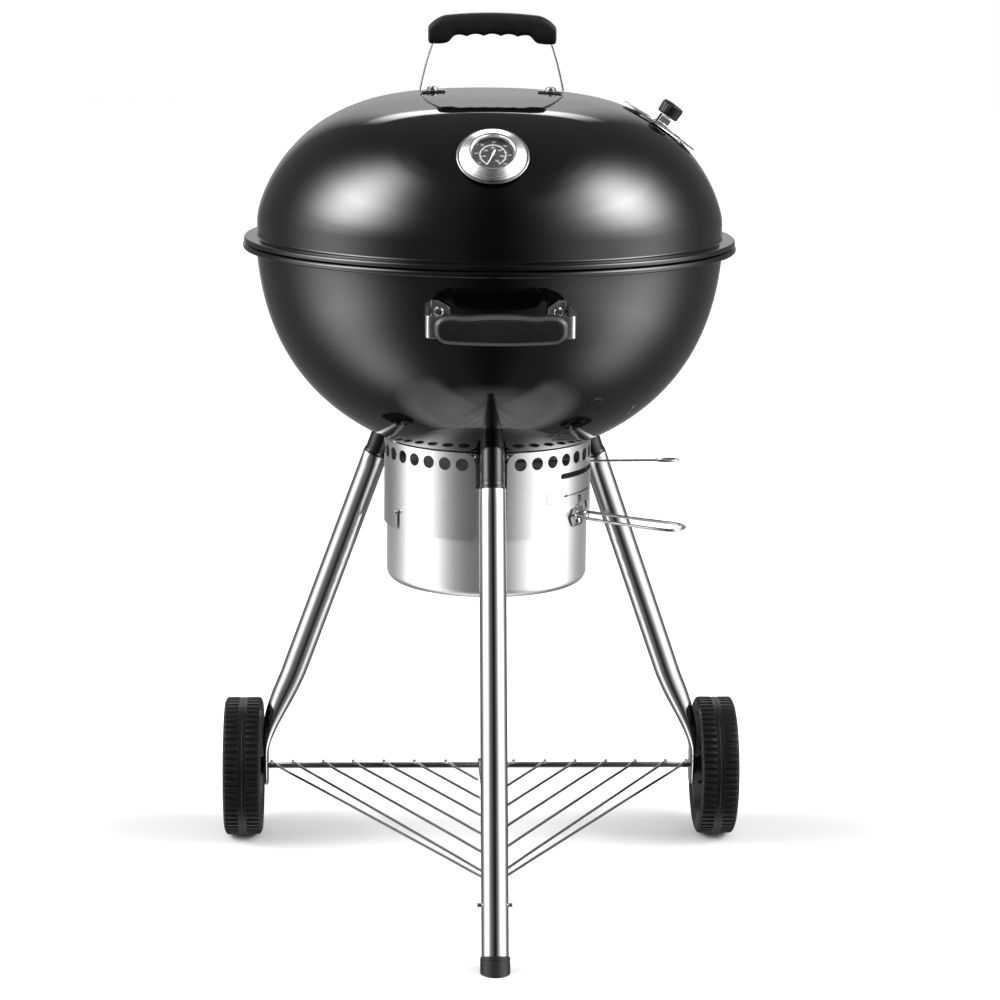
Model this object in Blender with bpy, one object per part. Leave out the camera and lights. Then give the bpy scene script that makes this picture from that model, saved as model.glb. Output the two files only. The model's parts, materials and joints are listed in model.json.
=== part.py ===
"""Kettle charcoal grill on three splayed legs, with two wheels, a sweep-type
bowl vent and a hanging ash can.

Units are metres, +Z is up.  The floor is z = 0, the front leg points to -Y and
the two wheels stand at the back with their axle along X.  Every shape is laid
out around the kettle's own vertical axis; the empty "kettle_axis" carries that
layout, so that the origin is the middle of the footprint on the floor.
"""
import math

import bmesh
import bpy
from mathutils import Matrix, Vector

# ---------------------------------------------------------------- dimensions
# overall layout
KETTLE_Y = 0.04560         # kettle axis, measured from the middle of the footprint
SEG = 32                   # facets round the kettle
WALL = 0.0012              # enamelled steel sheet
GAP = 0.0004               # air left between touching pieces

# lid: (r / LID_R)^LID_P + ((z - LID_Z0) / LID_RISE)^LID_Q = 1
LID_R = 0.2845
LID_Z0 = 0.8340
LID_RISE = 0.1559
LID_P = 3.28
LID_Q = 1.489
RIM_Z = 0.8065             # where the lid's lip rests on the bowl's lip
LID_LIP_R = 0.3010

# bowl: (r / BOWL_R)^BOWL_P + ((BOWL_Z0 - z) / BOWL_DROP)^BOWL_Q = 1
BOWL_R = 0.2873
BOWL_Z0 = 0.8650
BOWL_DROP = 0.3256
BOWL_P = 1.935
BOWL_Q = 2.770
BOWL_LIP_R = 0.3020

# legs
LEG_OD = 0.0320
LEG_ID = 0.0302
LEG_R_AXLE = 0.3374        # distance of a leg from the kettle axis at axle height
LEG_SPLAY = 0.4063         # outward run for each unit of drop
LEG_TOP_Z = 0.5269
SOCKET_OD = 0.0290
SOCKET_ID = 0.0260
SOCKET_IN_LEG = 0.040
FOOT_H = 0.0165
FOOT_OD = 0.0352
TONGUE_X = 0.2820          # middle of a rear leg's flattened end
TONGUE_T = 0.0062

# wheels
WHEEL_R = 0.0905
WHEEL_HALF_W = 0.0250
WHEEL_X = 0.3117
AXLE_D = 0.0080
AXLE_HALF = 0.3355
AXLE_Y = 0.1551            # axle, behind the kettle axis

# bottom rack
RACK_WIRE = 0.0034
RACK_SPINE = 0.0050
RACK_SPANS = [0.0451, 0.0866, 0.1270, 0.1678, 0.2072, 0.2474, 0.2755]
RACK_RUN = 1.815           # run along Y for each unit along X
PIN_D = 0.0050
PIN_Z = 0.0715
RACK_REAR_Z = 0.0945
RACK_FRONT_Z = 0.0893

# ash skirt and can
SKIRT_R = 0.1284
SKIRT_T = 0.0010
SKIRT_TOP = 0.5648
SKIRT_BOTTOM = 0.4577
SKIRT_CUT_TOP = 0.4912
SKIRT_GAP_DEG = 8.5
SKIRT_HOLE_R = 0.0078
SKIRT_HOLE_Z = 0.5502
CAN_R = 0.1247
CAN_BOTTOM = 0.3842
CAN_TOP = 0.5225
CAN_T = 0.0010
CAN_HANDLE_AZ = -30.0

# sweep
LEVER_Z = 0.5302
LEVER_AZ = 4.0
SWEEP_SWING = -46.0

# grates
COOK_R = 0.2680
COOK_Z = 0.7535
COAL_R = 0.2150
COAL_Z = 0.6346

# lid handle
LH_HALF = 0.0770
LH_TOP = 1.0842
LH_END_BOTTOM = 1.0466
LH_MID_BOTTOM = 1.0554
LH_DEPTH = 0.0270
LH_FOOT_X = 0.0858
LH_BOLT_X = 0.0715
LH_Y = -0.0180                 # the handle stands this far in front of the lid's centre

# bowl handle
BH_HALF = 0.0755
BH_Z0, BH_Z1 = 0.7283, 0.7646
BH_Y0, BH_Y1 = -0.3530, -0.3345
BH_FOOT_AZ = 13.8
BH_STRIP_Z = 0.7582
BH_STRIP_H = 0.0250
BH_DROP = 0.0085

# lid thermometer
TH_R = 0.2322
TH_AZ = -91.6                  # it sits a little left of the front

# lid damper
DAMPER_R = 0.0525
DAMPER_ON_LID_R = 0.2075
DAMPER_DISH = 0.40


# ------------------------------------------------------------------ helpers
def clear_scene():
    for o in list(bpy.data.objects):
        bpy.data.objects.remove(o, do_unlink=True)
    for m in list(bpy.data.meshes):
        bpy.data.meshes.remove(m)


clear_scene()

MATS = {}


def material(name, color, roughness, metallic, alpha=1.0):
    if name not in MATS:
        m = bpy.data.materials.new(name)
        m.use_nodes = True
        p = m.node_tree.nodes["Principled BSDF"]
        p.inputs["Base Color"].default_value = (*color, 1.0)
        p.inputs["Roughness"].default_value = roughness
        p.inputs["Metallic"].default_value = metallic
        p.inputs["Alpha"].default_value = alpha
        MATS[name] = m
    return MATS[name]


FINISH = {
    "enamel": ((0.010, 0.010, 0.011), 0.08, 0.0),
    "enamel_inside": ((0.012, 0.012, 0.013), 0.20, 0.0),
    "grip": ((0.020, 0.020, 0.021), 0.55, 0.0),
    "chrome": ((0.78, 0.78, 0.79), 0.08, 1.0),
    "brushed": ((0.62, 0.62, 0.61), 0.32, 1.0),
    "satin_aluminium": ((0.72, 0.72, 0.72), 0.38, 1.0),
    "zinc": ((0.66, 0.66, 0.64), 0.25, 1.0),
    "wheel_plastic": ((0.018, 0.018, 0.018), 0.60, 0.0),
    "dial_black": ((0.015, 0.015, 0.016), 0.50, 0.0),
    "clear": ((0.90, 0.92, 0.92), 0.03, 0.0),
    "needle": ((0.85, 0.85, 0.85), 0.40, 0.0),
    "wire_steel": ((0.60, 0.60, 0.60), 0.18, 1.0),
}


def own_material(node, finish):
    c, r, m = FINISH[finish]
    a = 0.35 if finish == "clear" else 1.0
    return material(node + "_" + finish, c, r, m, a)


kettle = bpy.data.objects.new("kettle_axis", None)
kettle.location = (0.0, KETTLE_Y, 0.0)
bpy.context.collection.objects.link(kettle)


def finish_object(name, bm, finish, origin=(0, 0, 0), cutter=False, sharp=35.0):
    """Put a bmesh, laid out in kettle coordinates, on an object whose origin is
    at `origin` and which hangs on the kettle axis."""
    bmesh.ops.remove_doubles(bm, verts=bm.verts, dist=1e-6)
    bmesh.ops.dissolve_degenerate(bm, edges=bm.edges, dist=1e-7)
    bmesh.ops.recalc_face_normals(bm, faces=bm.faces)
    bmesh.ops.translate(bm, verts=bm.verts, vec=-Vector(origin))
    me = bpy.data.meshes.new(name)
    bm.to_mesh(me)
    bm.free()
    me.shade_smooth()
    me.set_sharp_from_angle(angle=math.radians(sharp))
    ob = bpy.data.objects.new(name, me)
    ob.location = origin
    ob.parent = kettle
    if cutter:
        ob.hide_render = True
        ob.display_type = "WIRE"
    else:
        me.materials.append(own_material(name, finish))
    bpy.context.collection.objects.link(ob)
    return ob


def boolean(ob, tool, op="DIFFERENCE"):
    m = ob.modifiers.new(op.lower() + "_" + tool.name, "BOOLEAN")
    m.object = tool
    m.operation = op
    m.solver = "EXACT"
    return m


def turned(points, seg=SEG, matrix=None, phase=0.0):
    """Solid of revolution about Z from a closed outline of (radius, height)."""
    bm = bmesh.new()
    vs = [bm.verts.new((r, 0.0, z)) for r, z in points]
    n = len(vs)
    es = []
    for i in range(n):
        a, b = vs[i], vs[(i + 1) % n]
        if points[i][0] < 1e-9 and points[(i + 1) % n][0] < 1e-9:
            continue
        es.append(bm.edges.new((a, b)))
    bmesh.ops.spin(bm, geom=vs + es, cent=(0, 0, 0), axis=(0, 0, 1),
                   angle=2 * math.pi, steps=seg, use_duplicate=False)
    bmesh.ops.remove_doubles(bm, verts=bm.verts, dist=1e-6)
    bmesh.ops.dissolve_degenerate(bm, edges=bm.edges, dist=1e-7)
    bmesh.ops.recalc_face_normals(bm, faces=bm.faces)
    if phase:
        bmesh.ops.rotate(bm, verts=bm.verts, cent=(0, 0, 0),
                         matrix=Matrix.Rotation(phase, 3, "Z"))
    if matrix is not None:
        bmesh.ops.transform(bm, matrix=matrix, verts=bm.verts)
    return bm


def sector(points, a0, a1, steps, matrix=None):
    """Part of a turned solid between two angles, in degrees, with end caps."""
    bm = bmesh.new()
    rings = []
    for k in range(steps + 1):
        a = math.radians(a0 + (a1 - a0) * k / steps)
        rings.append([bm.verts.new((r * math.cos(a), r * math.sin(a), z)) for r, z in points])
    n = len(points)
    for k in range(steps):
        for i in range(n):
            j = (i + 1) % n
            bm.faces.new((rings[k][i], rings[k][j], rings[k + 1][j], rings[k + 1][i]))
    bm.faces.new(rings[0])
    bm.faces.new(list(reversed(rings[-1])))
    if matrix is not None:
        bmesh.ops.transform(bm, matrix=matrix, verts=bm.verts)
    bmesh.ops.recalc_face_normals(bm, faces=bm.faces)
    return bm


def merge(*parts):
    bm = bmesh.new()
    for p in parts:
        me = bpy.data.meshes.new("tmp")
        p.to_mesh(me)
        p.free()
        bm.from_mesh(me)
        bpy.data.meshes.remove(me)
    return bm


def place(origin, zdir, xdir=(1, 0, 0)):
    """Matrix whose Z runs along zdir and whose X lies as near as it can to xdir."""
    z = Vector(zdir).normalized()
    x = Vector(xdir)
    x = (x - z * x.dot(z)).normalized()
    y = z.cross(x)
    m = Matrix((x, y, z)).transposed().to_4x4()
    m.translation = Vector(origin)
    return m


def rod(a, b, radius, seg=12, radius2=None):
    a, b = Vector(a), Vector(b)
    bm = bmesh.new()
    d = b - a
    up = (1, 0, 0) if abs(d.normalized().x) < 0.9 else (0, 1, 0)
    bmesh.ops.create_cone(bm, cap_ends=True, cap_tris=False, segments=seg, radius1=radius,
                          radius2=radius if radius2 is None else radius2, depth=d.length,
                          matrix=place((a + b) / 2, d, up))
    return bm


def prism(outline, h0, h1, matrix=None):
    """Polygon (x, y) raised from h0 to h1."""
    bm = bmesh.new()
    f = bm.faces.new([bm.verts.new((x, y, h0)) for x, y in outline])
    r = bmesh.ops.extrude_face_region(bm, geom=[f])
    vs = [g for g in r["geom"] if isinstance(g, bmesh.types.BMVert)]
    bmesh.ops.translate(bm, verts=vs, vec=(0, 0, h1 - h0))
    bmesh.ops.recalc_face_normals(bm, faces=bm.faces)
    if matrix is not None:
        bmesh.ops.transform(bm, matrix=matrix, verts=bm.verts)
    return bm


def ribbon_outline(path, t):
    """Outline of a strip of thickness t whose middle line is the open path."""
    left, right = [], []
    n = len(path)
    for i, (x, y) in enumerate(path):
        def unit(p, q):
            d = Vector((q[0] - p[0], q[1] - p[1]))
            return d.normalized()
        if i == 0:
            d = unit(path[0], path[1]); m = 1.0
            nx, ny = -d.y, d.x
        elif i == n - 1:
            d = unit(path[-2], path[-1]); m = 1.0
            nx, ny = -d.y, d.x
        else:
            d1, d2 = unit(path[i - 1], path[i]), unit(path[i], path[i + 1])
            nn = Vector((-d1.y - d2.y, d1.x + d2.x)).normalized()
            m = 1.0 / max(0.4, nn.dot(Vector((-d1.y, d1.x))))
            nx, ny = nn.x, nn.y
        left.append((x + nx * m * t / 2, y + ny * m * t / 2))
        right.append((x - nx * m * t / 2, y - ny * m * t / 2))
    return left + right[::-1]


def tube_path(points, radius, seg=8, closed=False):
    """Round bar along a list of points, with mitred corners."""
    pts = [Vector(p) for p in points]
    n = len(pts)
    bm = bmesh.new()
    rings = []
    ref = None
    for i in range(n):
        if closed:
            d1 = (pts[i] - pts[i - 1]).normalized()
            d2 = (pts[(i + 1) % n] - pts[i]).normalized()
        else:
            d1 = (pts[i] - pts[max(i - 1, 0)]).normalized() if i else (pts[1] - pts[0]).normalized()
            d2 = (pts[min(i + 1, n - 1)] - pts[i]).normalized() if i < n - 1 else d1
        t = (d1 + d2).normalized()
        if ref is None:
            ref = Vector((0, 0, 1)) if abs(t.z) < 0.9 else Vector((1, 0, 0))
        u = (ref - t * ref.dot(t)).normalized()
        v = t.cross(u)
        ref = u
        k = 1.0 / max(0.5, t.dot(d1))
        side = t.cross(d1)
        if side.length > 1e-5:
            w = side.normalized().cross(t).normalized()
        else:
            w, k = u, 1.0
        ring = []
        for s in range(seg):
            a = 2 * math.pi * s / seg
            off = (u * math.cos(a) + v * math.sin(a)) * radius
            off += w * off.dot(w) * (k - 1.0)
            ring.append(bm.verts.new(pts[i] + off))
        rings.append(ring)
    m = n if closed else n - 1
    for i in range(m):
        a, b = rings[i], rings[(i + 1) % n]
        for s in range(seg):
            q = (s + 1) % seg
            bm.faces.new((a[s], a[q], b[q], b[s]))
    if not closed:
        bm.faces.new(rings[0][::-1])
        bm.faces.new(rings[-1])
    bmesh.ops.recalc_face_normals(bm, faces=bm.faces)
    return bm


def loft(sections, cap=True):
    bm = bmesh.new()
    rings = [[bm.verts.new(p) for p in s] for s in sections]
    n = len(rings[0])
    for a, b in zip(rings[:-1], rings[1:]):
        for i in range(n):
            j = (i + 1) % n
            bm.faces.new((a[i], a[j], b[j], b[i]))
    if cap:
        bm.faces.new(rings[0][::-1])
        bm.faces.new(rings[-1])
    bmesh.ops.recalc_face_normals(bm, faces=bm.faces)
    return bm


def az(deg, r, z=0.0):
    a = math.radians(deg)
    return Vector((r * math.cos(a), r * math.sin(a), z))


def cutter(name, bm):
    return finish_object(name, bm, None, cutter=True)


# ------------------------------------------------------ lid and bowl outlines
def lid_r(z):
    t = min(1.0, max(0.0, (z - LID_Z0) / LID_RISE))
    return LID_R * (1.0 - t ** LID_Q) ** (1.0 / LID_P)


def lid_z(r):
    return LID_Z0 + LID_RISE * (1.0 - (r / LID_R) ** LID_P) ** (1.0 / LID_Q)


def lid_normal(r):
    """Outward normal of the lid at radius r, as (radial, up)."""
    e = 1e-4
    dz = (lid_z(r + e) - lid_z(r - e)) / (2 * e)
    n = Vector((-dz, 1.0))
    return n.normalized()


def bowl_r(z):
    t = max(0.0, (BOWL_Z0 - z) / BOWL_DROP)
    return BOWL_R * max(0.0, 1.0 - t ** BOWL_Q) ** (1.0 / BOWL_P)


def bowl_z(r):
    return BOWL_Z0 - BOWL_DROP * (1.0 - (r / BOWL_R) ** BOWL_P) ** (1.0 / BOWL_Q)


def bowl_normal(r):
    e = 1e-4
    dz = (bowl_z(r + e) - bowl_z(r - e)) / (2 * e)
    return Vector((dz, -1.0)).normalized()


def offset_curve(pts, d):
    """Move an open outline sideways by d, keeping its end on the axis there."""
    out = []
    for i, (r, z) in enumerate(pts):
        a = pts[max(i - 1, 0)]
        b = pts[min(i + 1, len(pts) - 1)]
        t = Vector((b[0] - a[0], b[1] - a[1])).normalized()
        out.append((r + t.y * d, z - t.x * d))
    return out


# lid: from the shoulder up to the pole
lid_curve = [(lid_r(LID_Z0 + LID_RISE * t), LID_Z0 + LID_RISE * t)
             for t in (0.0, 0.16, 0.36, 0.54, 0.70, 0.82, 0.91)]
lid_curve += [(LID_R * 0.50, lid_z(LID_R * 0.50)), (LID_R * 0.27, lid_z(LID_R * 0.27)),
              (0.0, LID_Z0 + LID_RISE)]
lid_inner = offset_curve(lid_curve, -WALL)
lid_inner[-1] = (0.0, LID_Z0 + LID_RISE - WALL)
lid_lip_out = [(LID_R, RIM_Z + 0.0118), (LID_R + 0.0042, RIM_Z + 0.0082), (LID_LIP_R - 0.0030, RIM_Z + 0.0066),
               (LID_LIP_R, RIM_Z + 0.0038), (LID_LIP_R - 0.0006, RIM_Z + 0.0008),
               (LID_LIP_R - 0.0052, RIM_Z + 0.0003), (LID_LIP_R - 0.0052, RIM_Z + 0.0038),
               (LID_R - WALL, RIM_Z + 0.0066)]
lid_profile = list(reversed(lid_lip_out)) + lid_curve + list(reversed(lid_inner))
lid_shell = finish_object("lid_shell", turned(lid_profile), "enamel")

# bowl: from the upper wall down to the pole
bowl_ts = [0.7943, 0.759, 0.722, 0.684, 0.649, 0.619, 0.594, 0.574]
bowl_curve = [(bowl_r(z), z) for z in bowl_ts] + [(0.1200, bowl_z(0.1200)), (0.0800, bowl_z(0.0800)),
                                                 (0.0400, bowl_z(0.0400)), (0.0, BOWL_Z0 - BOWL_DROP)]
bowl_inner = offset_curve(bowl_curve, WALL)
bowl_inner[-1] = (0.0, BOWL_Z0 - BOWL_DROP + WALL)
r0 = bowl_r(bowl_ts[0])
bowl_lip = [(r0 - WALL, RIM_Z - 0.0047), (r0 + 0.0010, RIM_Z - 0.0011), (BOWL_LIP_R - 0.0040, RIM_Z - 0.0003),
            (BOWL_LIP_R, RIM_Z - 0.0026), (BOWL_LIP_R, RIM_Z - 0.0058),
            (BOWL_LIP_R - 0.0030, RIM_Z - 0.0077), (BOWL_LIP_R - 0.0064, RIM_Z - 0.0068),
            (BOWL_LIP_R - 0.0064, RIM_Z - 0.0034), (r0 + 0.0014, RIM_Z - 0.0042)]
bowl_profile = bowl_lip + bowl_curve + list(reversed(bowl_inner))
bowl_shell = finish_object("bowl_shell", turned(bowl_profile), "enamel")


# ------------------------------------------------------------- lid's handle
lh_foot_z = lid_z(LH_FOOT_X) + GAP + 0.0010
strap_t = 0.0018
strap_w = 0.0180
lh_in_x = 0.0560
lh_up_x = 0.0655
LH_BAR_Z = 1.0630
strap_path = [(-lh_in_x, lid_z(lh_in_x) + GAP + 0.0010), (-LH_FOOT_X + 0.001, lh_foot_z),
              (-LH_FOOT_X - 0.0004, lh_foot_z + 0.0022), (-lh_up_x - 0.0006, LH_BAR_Z - 0.0022),
              (-lh_up_x + 0.0018, LH_BAR_Z)]
strap_path = strap_path + [(-x, z) for x, z in reversed(strap_path)]
XZ = Matrix(((1, 0, 0, 0), (0, 0, -1, 0), (0, 1, 0, 0), (0, 0, 0, 1)))   # outline x, y to x, z
LH_AT = Vector((0, LH_Y, 0))
XZH = Matrix.Translation(LH_AT) @ XZ
lid_handle_strap = finish_object(
    "lid_handle_strap", prism(ribbon_outline(strap_path, strap_t), -strap_w / 2, strap_w / 2, XZH), "zinc")


def grip_outline():
    pts = []
    n = 14
    for i in range(n + 1):                       # arched top, left to right
        x = -LH_HALF + 0.004 + (2 * LH_HALF - 0.008) * i / n
        u = abs(x) / LH_HALF
        z = LH_TOP - 0.0062 * u ** 2 - 0.012 * max(0.0, u - 0.72) ** 1.5 / 0.28 ** 1.5
        pts.append((x, z))
    pts += [(LH_HALF, LH_TOP - 0.022), (LH_HALF - 0.001, LH_END_BOTTOM + 0.004),
            (LH_HALF - 0.0045, LH_END_BOTTOM), (0.0600, LH_END_BOTTOM + 0.0004),
            (0.0560, LH_END_BOTTOM + 0.0035)]
    for k in range(5):                           # finger scallops
        x0 = 0.052 - 0.104 * k / 5
        x1 = 0.052 - 0.104 * (k + 1) / 5
        pts.append((x0, LH_MID_BOTTOM - 0.0014))
        pts.append(((x0 + x1) / 2, LH_MID_BOTTOM + 0.0016))
    pts += [(-0.052, LH_MID_BOTTOM - 0.0014), (-0.0560, LH_END_BOTTOM + 0.0035),
            (-0.0600, LH_END_BOTTOM + 0.0004), (-LH_HALF + 0.0045, LH_END_BOTTOM),
            (-LH_HALF + 0.001, LH_END_BOTTOM + 0.004), (-LH_HALF, LH_TOP - 0.022)]
    return pts


lid_handle_grip = finish_object("lid_handle_grip",
                                prism(grip_outline(), -LH_DEPTH / 2, LH_DEPTH / 2, XZH), "grip")
slot_path = [(-0.0735, LH_END_BOTTOM - 0.010)] + strap_path[3:7] + [(0.0735, LH_END_BOTTOM - 0.010)]
slot_path = [(-(lh_up_x + 0.0006 + (LH_BAR_Z - 0.0022 - (LH_END_BOTTOM - 0.010)) *
               (LH_FOOT_X - lh_up_x - 0.0002) / (LH_BAR_Z - 0.0022 - lh_foot_z - 0.0022)),
              LH_END_BOTTOM - 0.010)] + strap_path[3:7]
slot_path = slot_path + [(-slot_path[0][0], slot_path[0][1])]
boolean(lid_handle_grip, cutter("cut_grip_slot", prism(ribbon_outline(slot_path, strap_t + 2 * GAP),
                                                       -strap_w / 2 - GAP, strap_w / 2 + GAP, XZH)))


def bolt(name, base, axis, head_r, head_h, shank_r, shank_l, finish="zinc", seg=12):
    """Domed bolt: the head stands on `base` and looks along `axis`; the shank
    goes the other way."""
    pts = [(0, head_h), (head_r * 0.55, head_h * 0.86), (head_r * 0.92, head_h * 0.45), (head_r, 0.0),
           (shank_r, 0.0), (shank_r, -shank_l), (0, -shank_l)]
    return finish_object(name, turned(pts, seg, place(base, axis)), finish)


def nut(name, base, axis, r, h, bore, finish="zinc"):
    pts = [(bore, 0.0), (r, 0.0), (r, h), (bore, h)]
    return finish_object(name, turned(pts, 6, place(base, axis)), finish)


for side, sx in (("left", -1), ("right", 1)):
    zt = lid_z(LH_BOLT_X)
    n = lid_normal(LH_BOLT_X)
    axis = Vector((sx * n.x, 0, n.y))
    base = Vector((sx * LH_BOLT_X, 0, zt)) + LH_AT + axis * (strap_t + 0.0011 + GAP)
    bolt("lid_handle_bolt_" + side, base, axis, 0.0062, 0.0042, 0.0026, 0.0130)
    nut("lid_handle_nut_" + side, Vector((sx * LH_BOLT_X, 0, zt)) + LH_AT - axis * (WALL + 0.0007), -axis,
        0.0055, 0.0040, 0.0034)
    c = cutter("cut_lid_bolt_" + side, rod(base - axis * 0.02, base + axis * 0.003, 0.0032))
    boolean(lid_shell, c)
    boolean(lid_handle_strap, c)

# ------------------------------------------------------------- thermometer
tn = lid_normal(TH_R)
TH_AXIS = az(TH_AZ, tn.x, tn.y)
TH_POS = az(TH_AZ, TH_R, lid_z(TH_R))
TH = place(TH_POS, TH_AXIS)
finish_object("thermometer_backplate",
              turned([(0.0060, 0.0008), (0.0412, 0.0008), (0.0418, 0.0012), (0.0412, 0.0017),
                      (0.0060, 0.0017)], 24, TH), "brushed")
finish_object("thermometer_bezel",
              turned([(0.0238, 0.0021), (0.0385, 0.0021), (0.0389, 0.0032), (0.0284, 0.0098),
                      (0.0268, 0.0106), (0.0254, 0.0100), (0.0238, 0.0072)], 24, TH), "brushed")
finish_object("thermometer_dial",
              turned([(0, 0.0022), (0.0233, 0.0022), (0.0233, 0.0030), (0.0020, 0.0030),
                      (0.0014, 0.0036), (0, 0.0036)], 20, TH), "dial_black")
finish_object("thermometer_glass",
              turned([(0, 0.0060), (0.0233, 0.0060), (0.0233, 0.0068), (0, 0.0070)], 20, TH), "clear")
# the pointer turns about the dial's axis; at rest it points down and to the left
th_dir = math.radians(-113.0)
nd = Vector((math.cos(th_dir), math.sin(th_dir)))
ns = Vector((-nd.y, nd.x))
ndl = [nd * 0.0165, nd * 0.004 + ns * 0.0012, nd * -0.0060 + ns * 0.0016, nd * -0.0075,
       nd * -0.0060 - ns * 0.0016, nd * 0.004 - ns * 0.0012]
finish_object("thermometer_needle",
              prism([(p.x, p.y) for p in ndl], 0.0041, 0.0046, TH), "needle", origin=TH_POS)
finish_object("thermometer_stem",
              turned([(0, 0.0005), (0.0052, 0.0005), (0.0052, 0.00035), (0.0030, 0.00030), (0.0030, -0.0500),
                      (0, -0.0510)], 12, place(TH_POS, TH_AXIS)), "zinc")
nut("thermometer_nut", TH_POS - TH_AXIS * (WALL + 0.0030), -TH_AXIS, 0.0085, 0.0045, 0.0039)
boolean(lid_shell, cutter("cut_thermometer",
                          rod(TH_POS - TH_AXIS * 0.01, TH_POS + TH_AXIS * 0.01, 0.0058)))

# --------------------------------------------------------------- lid damper
dn = lid_normal(DAMPER_ON_LID_R)
DM_AXIS = Vector((dn.x, 0, dn.y))
DM_POS = Vector((DAMPER_ON_LID_R, 0, lid_z(DAMPER_ON_LID_R)))
DM = place(DM_POS, DM_AXIS, (0, 1, 0))


def dish(r, top):
    return top - (DAMPER_DISH - math.sqrt(DAMPER_DISH ** 2 - r ** 2))


d0, d1 = 0.0007, 0.0017
rs = [0.0034, 0.026, DAMPER_R - 0.0015]
disc_pts = [(r, dish(r, d0)) for r in rs] + [(DAMPER_R, dish(DAMPER_R, d0) + 0.0006)] + \
           [(r, dish(r, d1)) for r in reversed(rs)]
lid_damper_disc = finish_object("lid_damper_disc", turned(disc_pts, 20, DM), "zinc", origin=DM_POS)
for k in range(4):
    a = math.radians(45 + 90 * k)
    p = DM @ Vector((0.031 * math.cos(a), 0.031 * math.sin(a), 0))
    boolean(lid_damper_disc, cutter("cut_disc_%d" % k, rod(p - DM_AXIS * 0.02, p + DM_AXIS * 0.02, 0.0105, 8)))
    a = math.radians(90 * k)
    p = DM @ Vector((0.031 * math.cos(a), 0.031 * math.sin(a), 0))
    boolean(lid_shell, cutter("cut_vent_%d" % k, rod(p - DM_AXIS * 0.02, p + DM_AXIS * 0.02, 0.0100, 8)))
finish_object("lid_damper_rivet",
              turned([(0, 0.0040), (0.0040, 0.0036), (0.0062, 0.0021), (0.0030, 0.0021),
                      (0.0030, -0.0038), (0.0050, -0.0038), (0.0046, -0.0054), (0, -0.0058)],
                     12, DM), "zinc")
boolean(lid_shell, cutter("cut_damper_rivet",
                          rod(DM_POS - DM_AXIS * 0.01, DM_POS + DM_AXIS * 0.01, 0.0034)))
bz = 0.0120
br_path = [(-0.0210, 0.0019), (-0.0128, 0.0023), (-0.0118, bz), (0.0118, bz), (0.0128, 0.0023), (0.0210, 0.0019)]
LXZ = DM @ XZ
finish_object("lid_damper_bracket",
              prism(ribbon_outline(br_path, 0.0012), -0.0070, 0.0070, LXZ), "zinc", origin=DM_POS)
finish_object("lid_damper_knob",
              turned([(0, bz + 0.0010), (0.0125, bz + 0.0010), (0.0138, bz + 0.0022), (0.0142, bz + 0.0150),
                      (0.0128, bz + 0.0172), (0, bz + 0.0178)], 24, DM), "grip", origin=DM_POS)

# ------------------------------------------------------------- bowl's handle
for side, sx in (("left", -1), ("right", 1)):
    fa = -90.0 + sx * BH_FOOT_AZ
    rf = 0.2848
    c0 = az(fa - sx * 2.4, rf)
    c1 = az(fa + sx * 2.2, rf)
    path = [(c0.x, c0.y), (c1.x, c1.y), (sx * 0.0832, -0.2960), (sx * 0.0835, -0.3330),
            (sx * 0.0816, -0.3414), (sx * 0.0782, -0.3438), (sx * 0.0600, -0.3438)]
    bm = prism(ribbon_outline(path, 0.0018), BH_STRIP_Z - BH_STRIP_H / 2, BH_STRIP_Z + BH_STRIP_H / 2)
    for v in bm.verts:                       # the strip drops as it runs out to the grip
        u = min(1.0, max(0.0, (-0.2880 - v.co.y) / 0.0545))
        v.co.z -= BH_DROP * u
    br = finish_object("bowl_handle_bracket_" + side, bm, "zinc")
    radial = az(fa, 1.0)
    foot = az(fa, rf, BH_STRIP_Z)
    head = foot + radial * (0.0009 + GAP)
    bolt("bowl_handle_bolt_" + side, head, radial, 0.0058, 0.0038, 0.0028, 0.0150)
    inner = az(fa, bowl_r(BH_STRIP_Z) - WALL - 0.0036, BH_STRIP_Z)
    nut("bowl_handle_nut_" + side, inner, -radial, 0.0056, 0.0040, 0.0036)
    c = cutter("cut_bowl_bolt_" + side, rod(foot - radial * 0.03, foot + radial * 0.003, 0.0034))
    boolean(bowl_shell, c)
    boolean(br, c)


def box(x0, x1, y0, y1, z0, z1):
    return prism([(x0, y0), (x1, y0), (x1, y1), (x0, y1)], z0, z1)


def bh_outline():
    z0, z1, h = BH_Z0, BH_Z1, BH_HALF
    right = [(0.030, z1 - 0.0005), (h - 0.014, z1 - 0.0035), (h - 0.004, z1 - 0.0060), (h, z1 - 0.0110),
             (h, z0 + 0.0130), (h - 0.004, z0 + 0.0078), (h - 0.016, z0 + 0.0040), (0.030, z0 + 0.0006)]
    return [(0.0, z1)] + right + [(0.0, z0)] + [(-x, z) for x, z in reversed(right)]


bowl_handle_grip = finish_object("bowl_handle_grip", prism(bh_outline(), -BH_Y1, -BH_Y0, XZ), "grip")
bv = bowl_handle_grip.modifiers.new("edge", "BEVEL")
bv.width = 0.0022
bv.segments = 1
bv.limit_method = "ANGLE"
bv.angle_limit = math.radians(60)
zt = BH_STRIP_Z - BH_DROP
for side, sx in (("left", -1), ("right", 1)):
    x0, x1 = sorted((sx * 0.0585, sx * 0.0900))
    boolean(bowl_handle_grip, cutter("cut_bh_" + side,
            box(x0, x1, -0.3438 - 0.0009 - GAP, -0.3438 + 0.0009 + GAP,
                zt - BH_STRIP_H / 2 - GAP, zt + BH_STRIP_H / 2 + GAP)))


# ------------------------------------------------------------------ legs
def leg_axis(deg, z):
    return az(deg, LEG_R_AXLE + LEG_SPLAY * (WHEEL_R - z), z)


def leg_dir(deg):
    return (leg_axis(deg, 0.0) - leg_axis(deg, 0.5)).normalized()       # downwards


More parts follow.
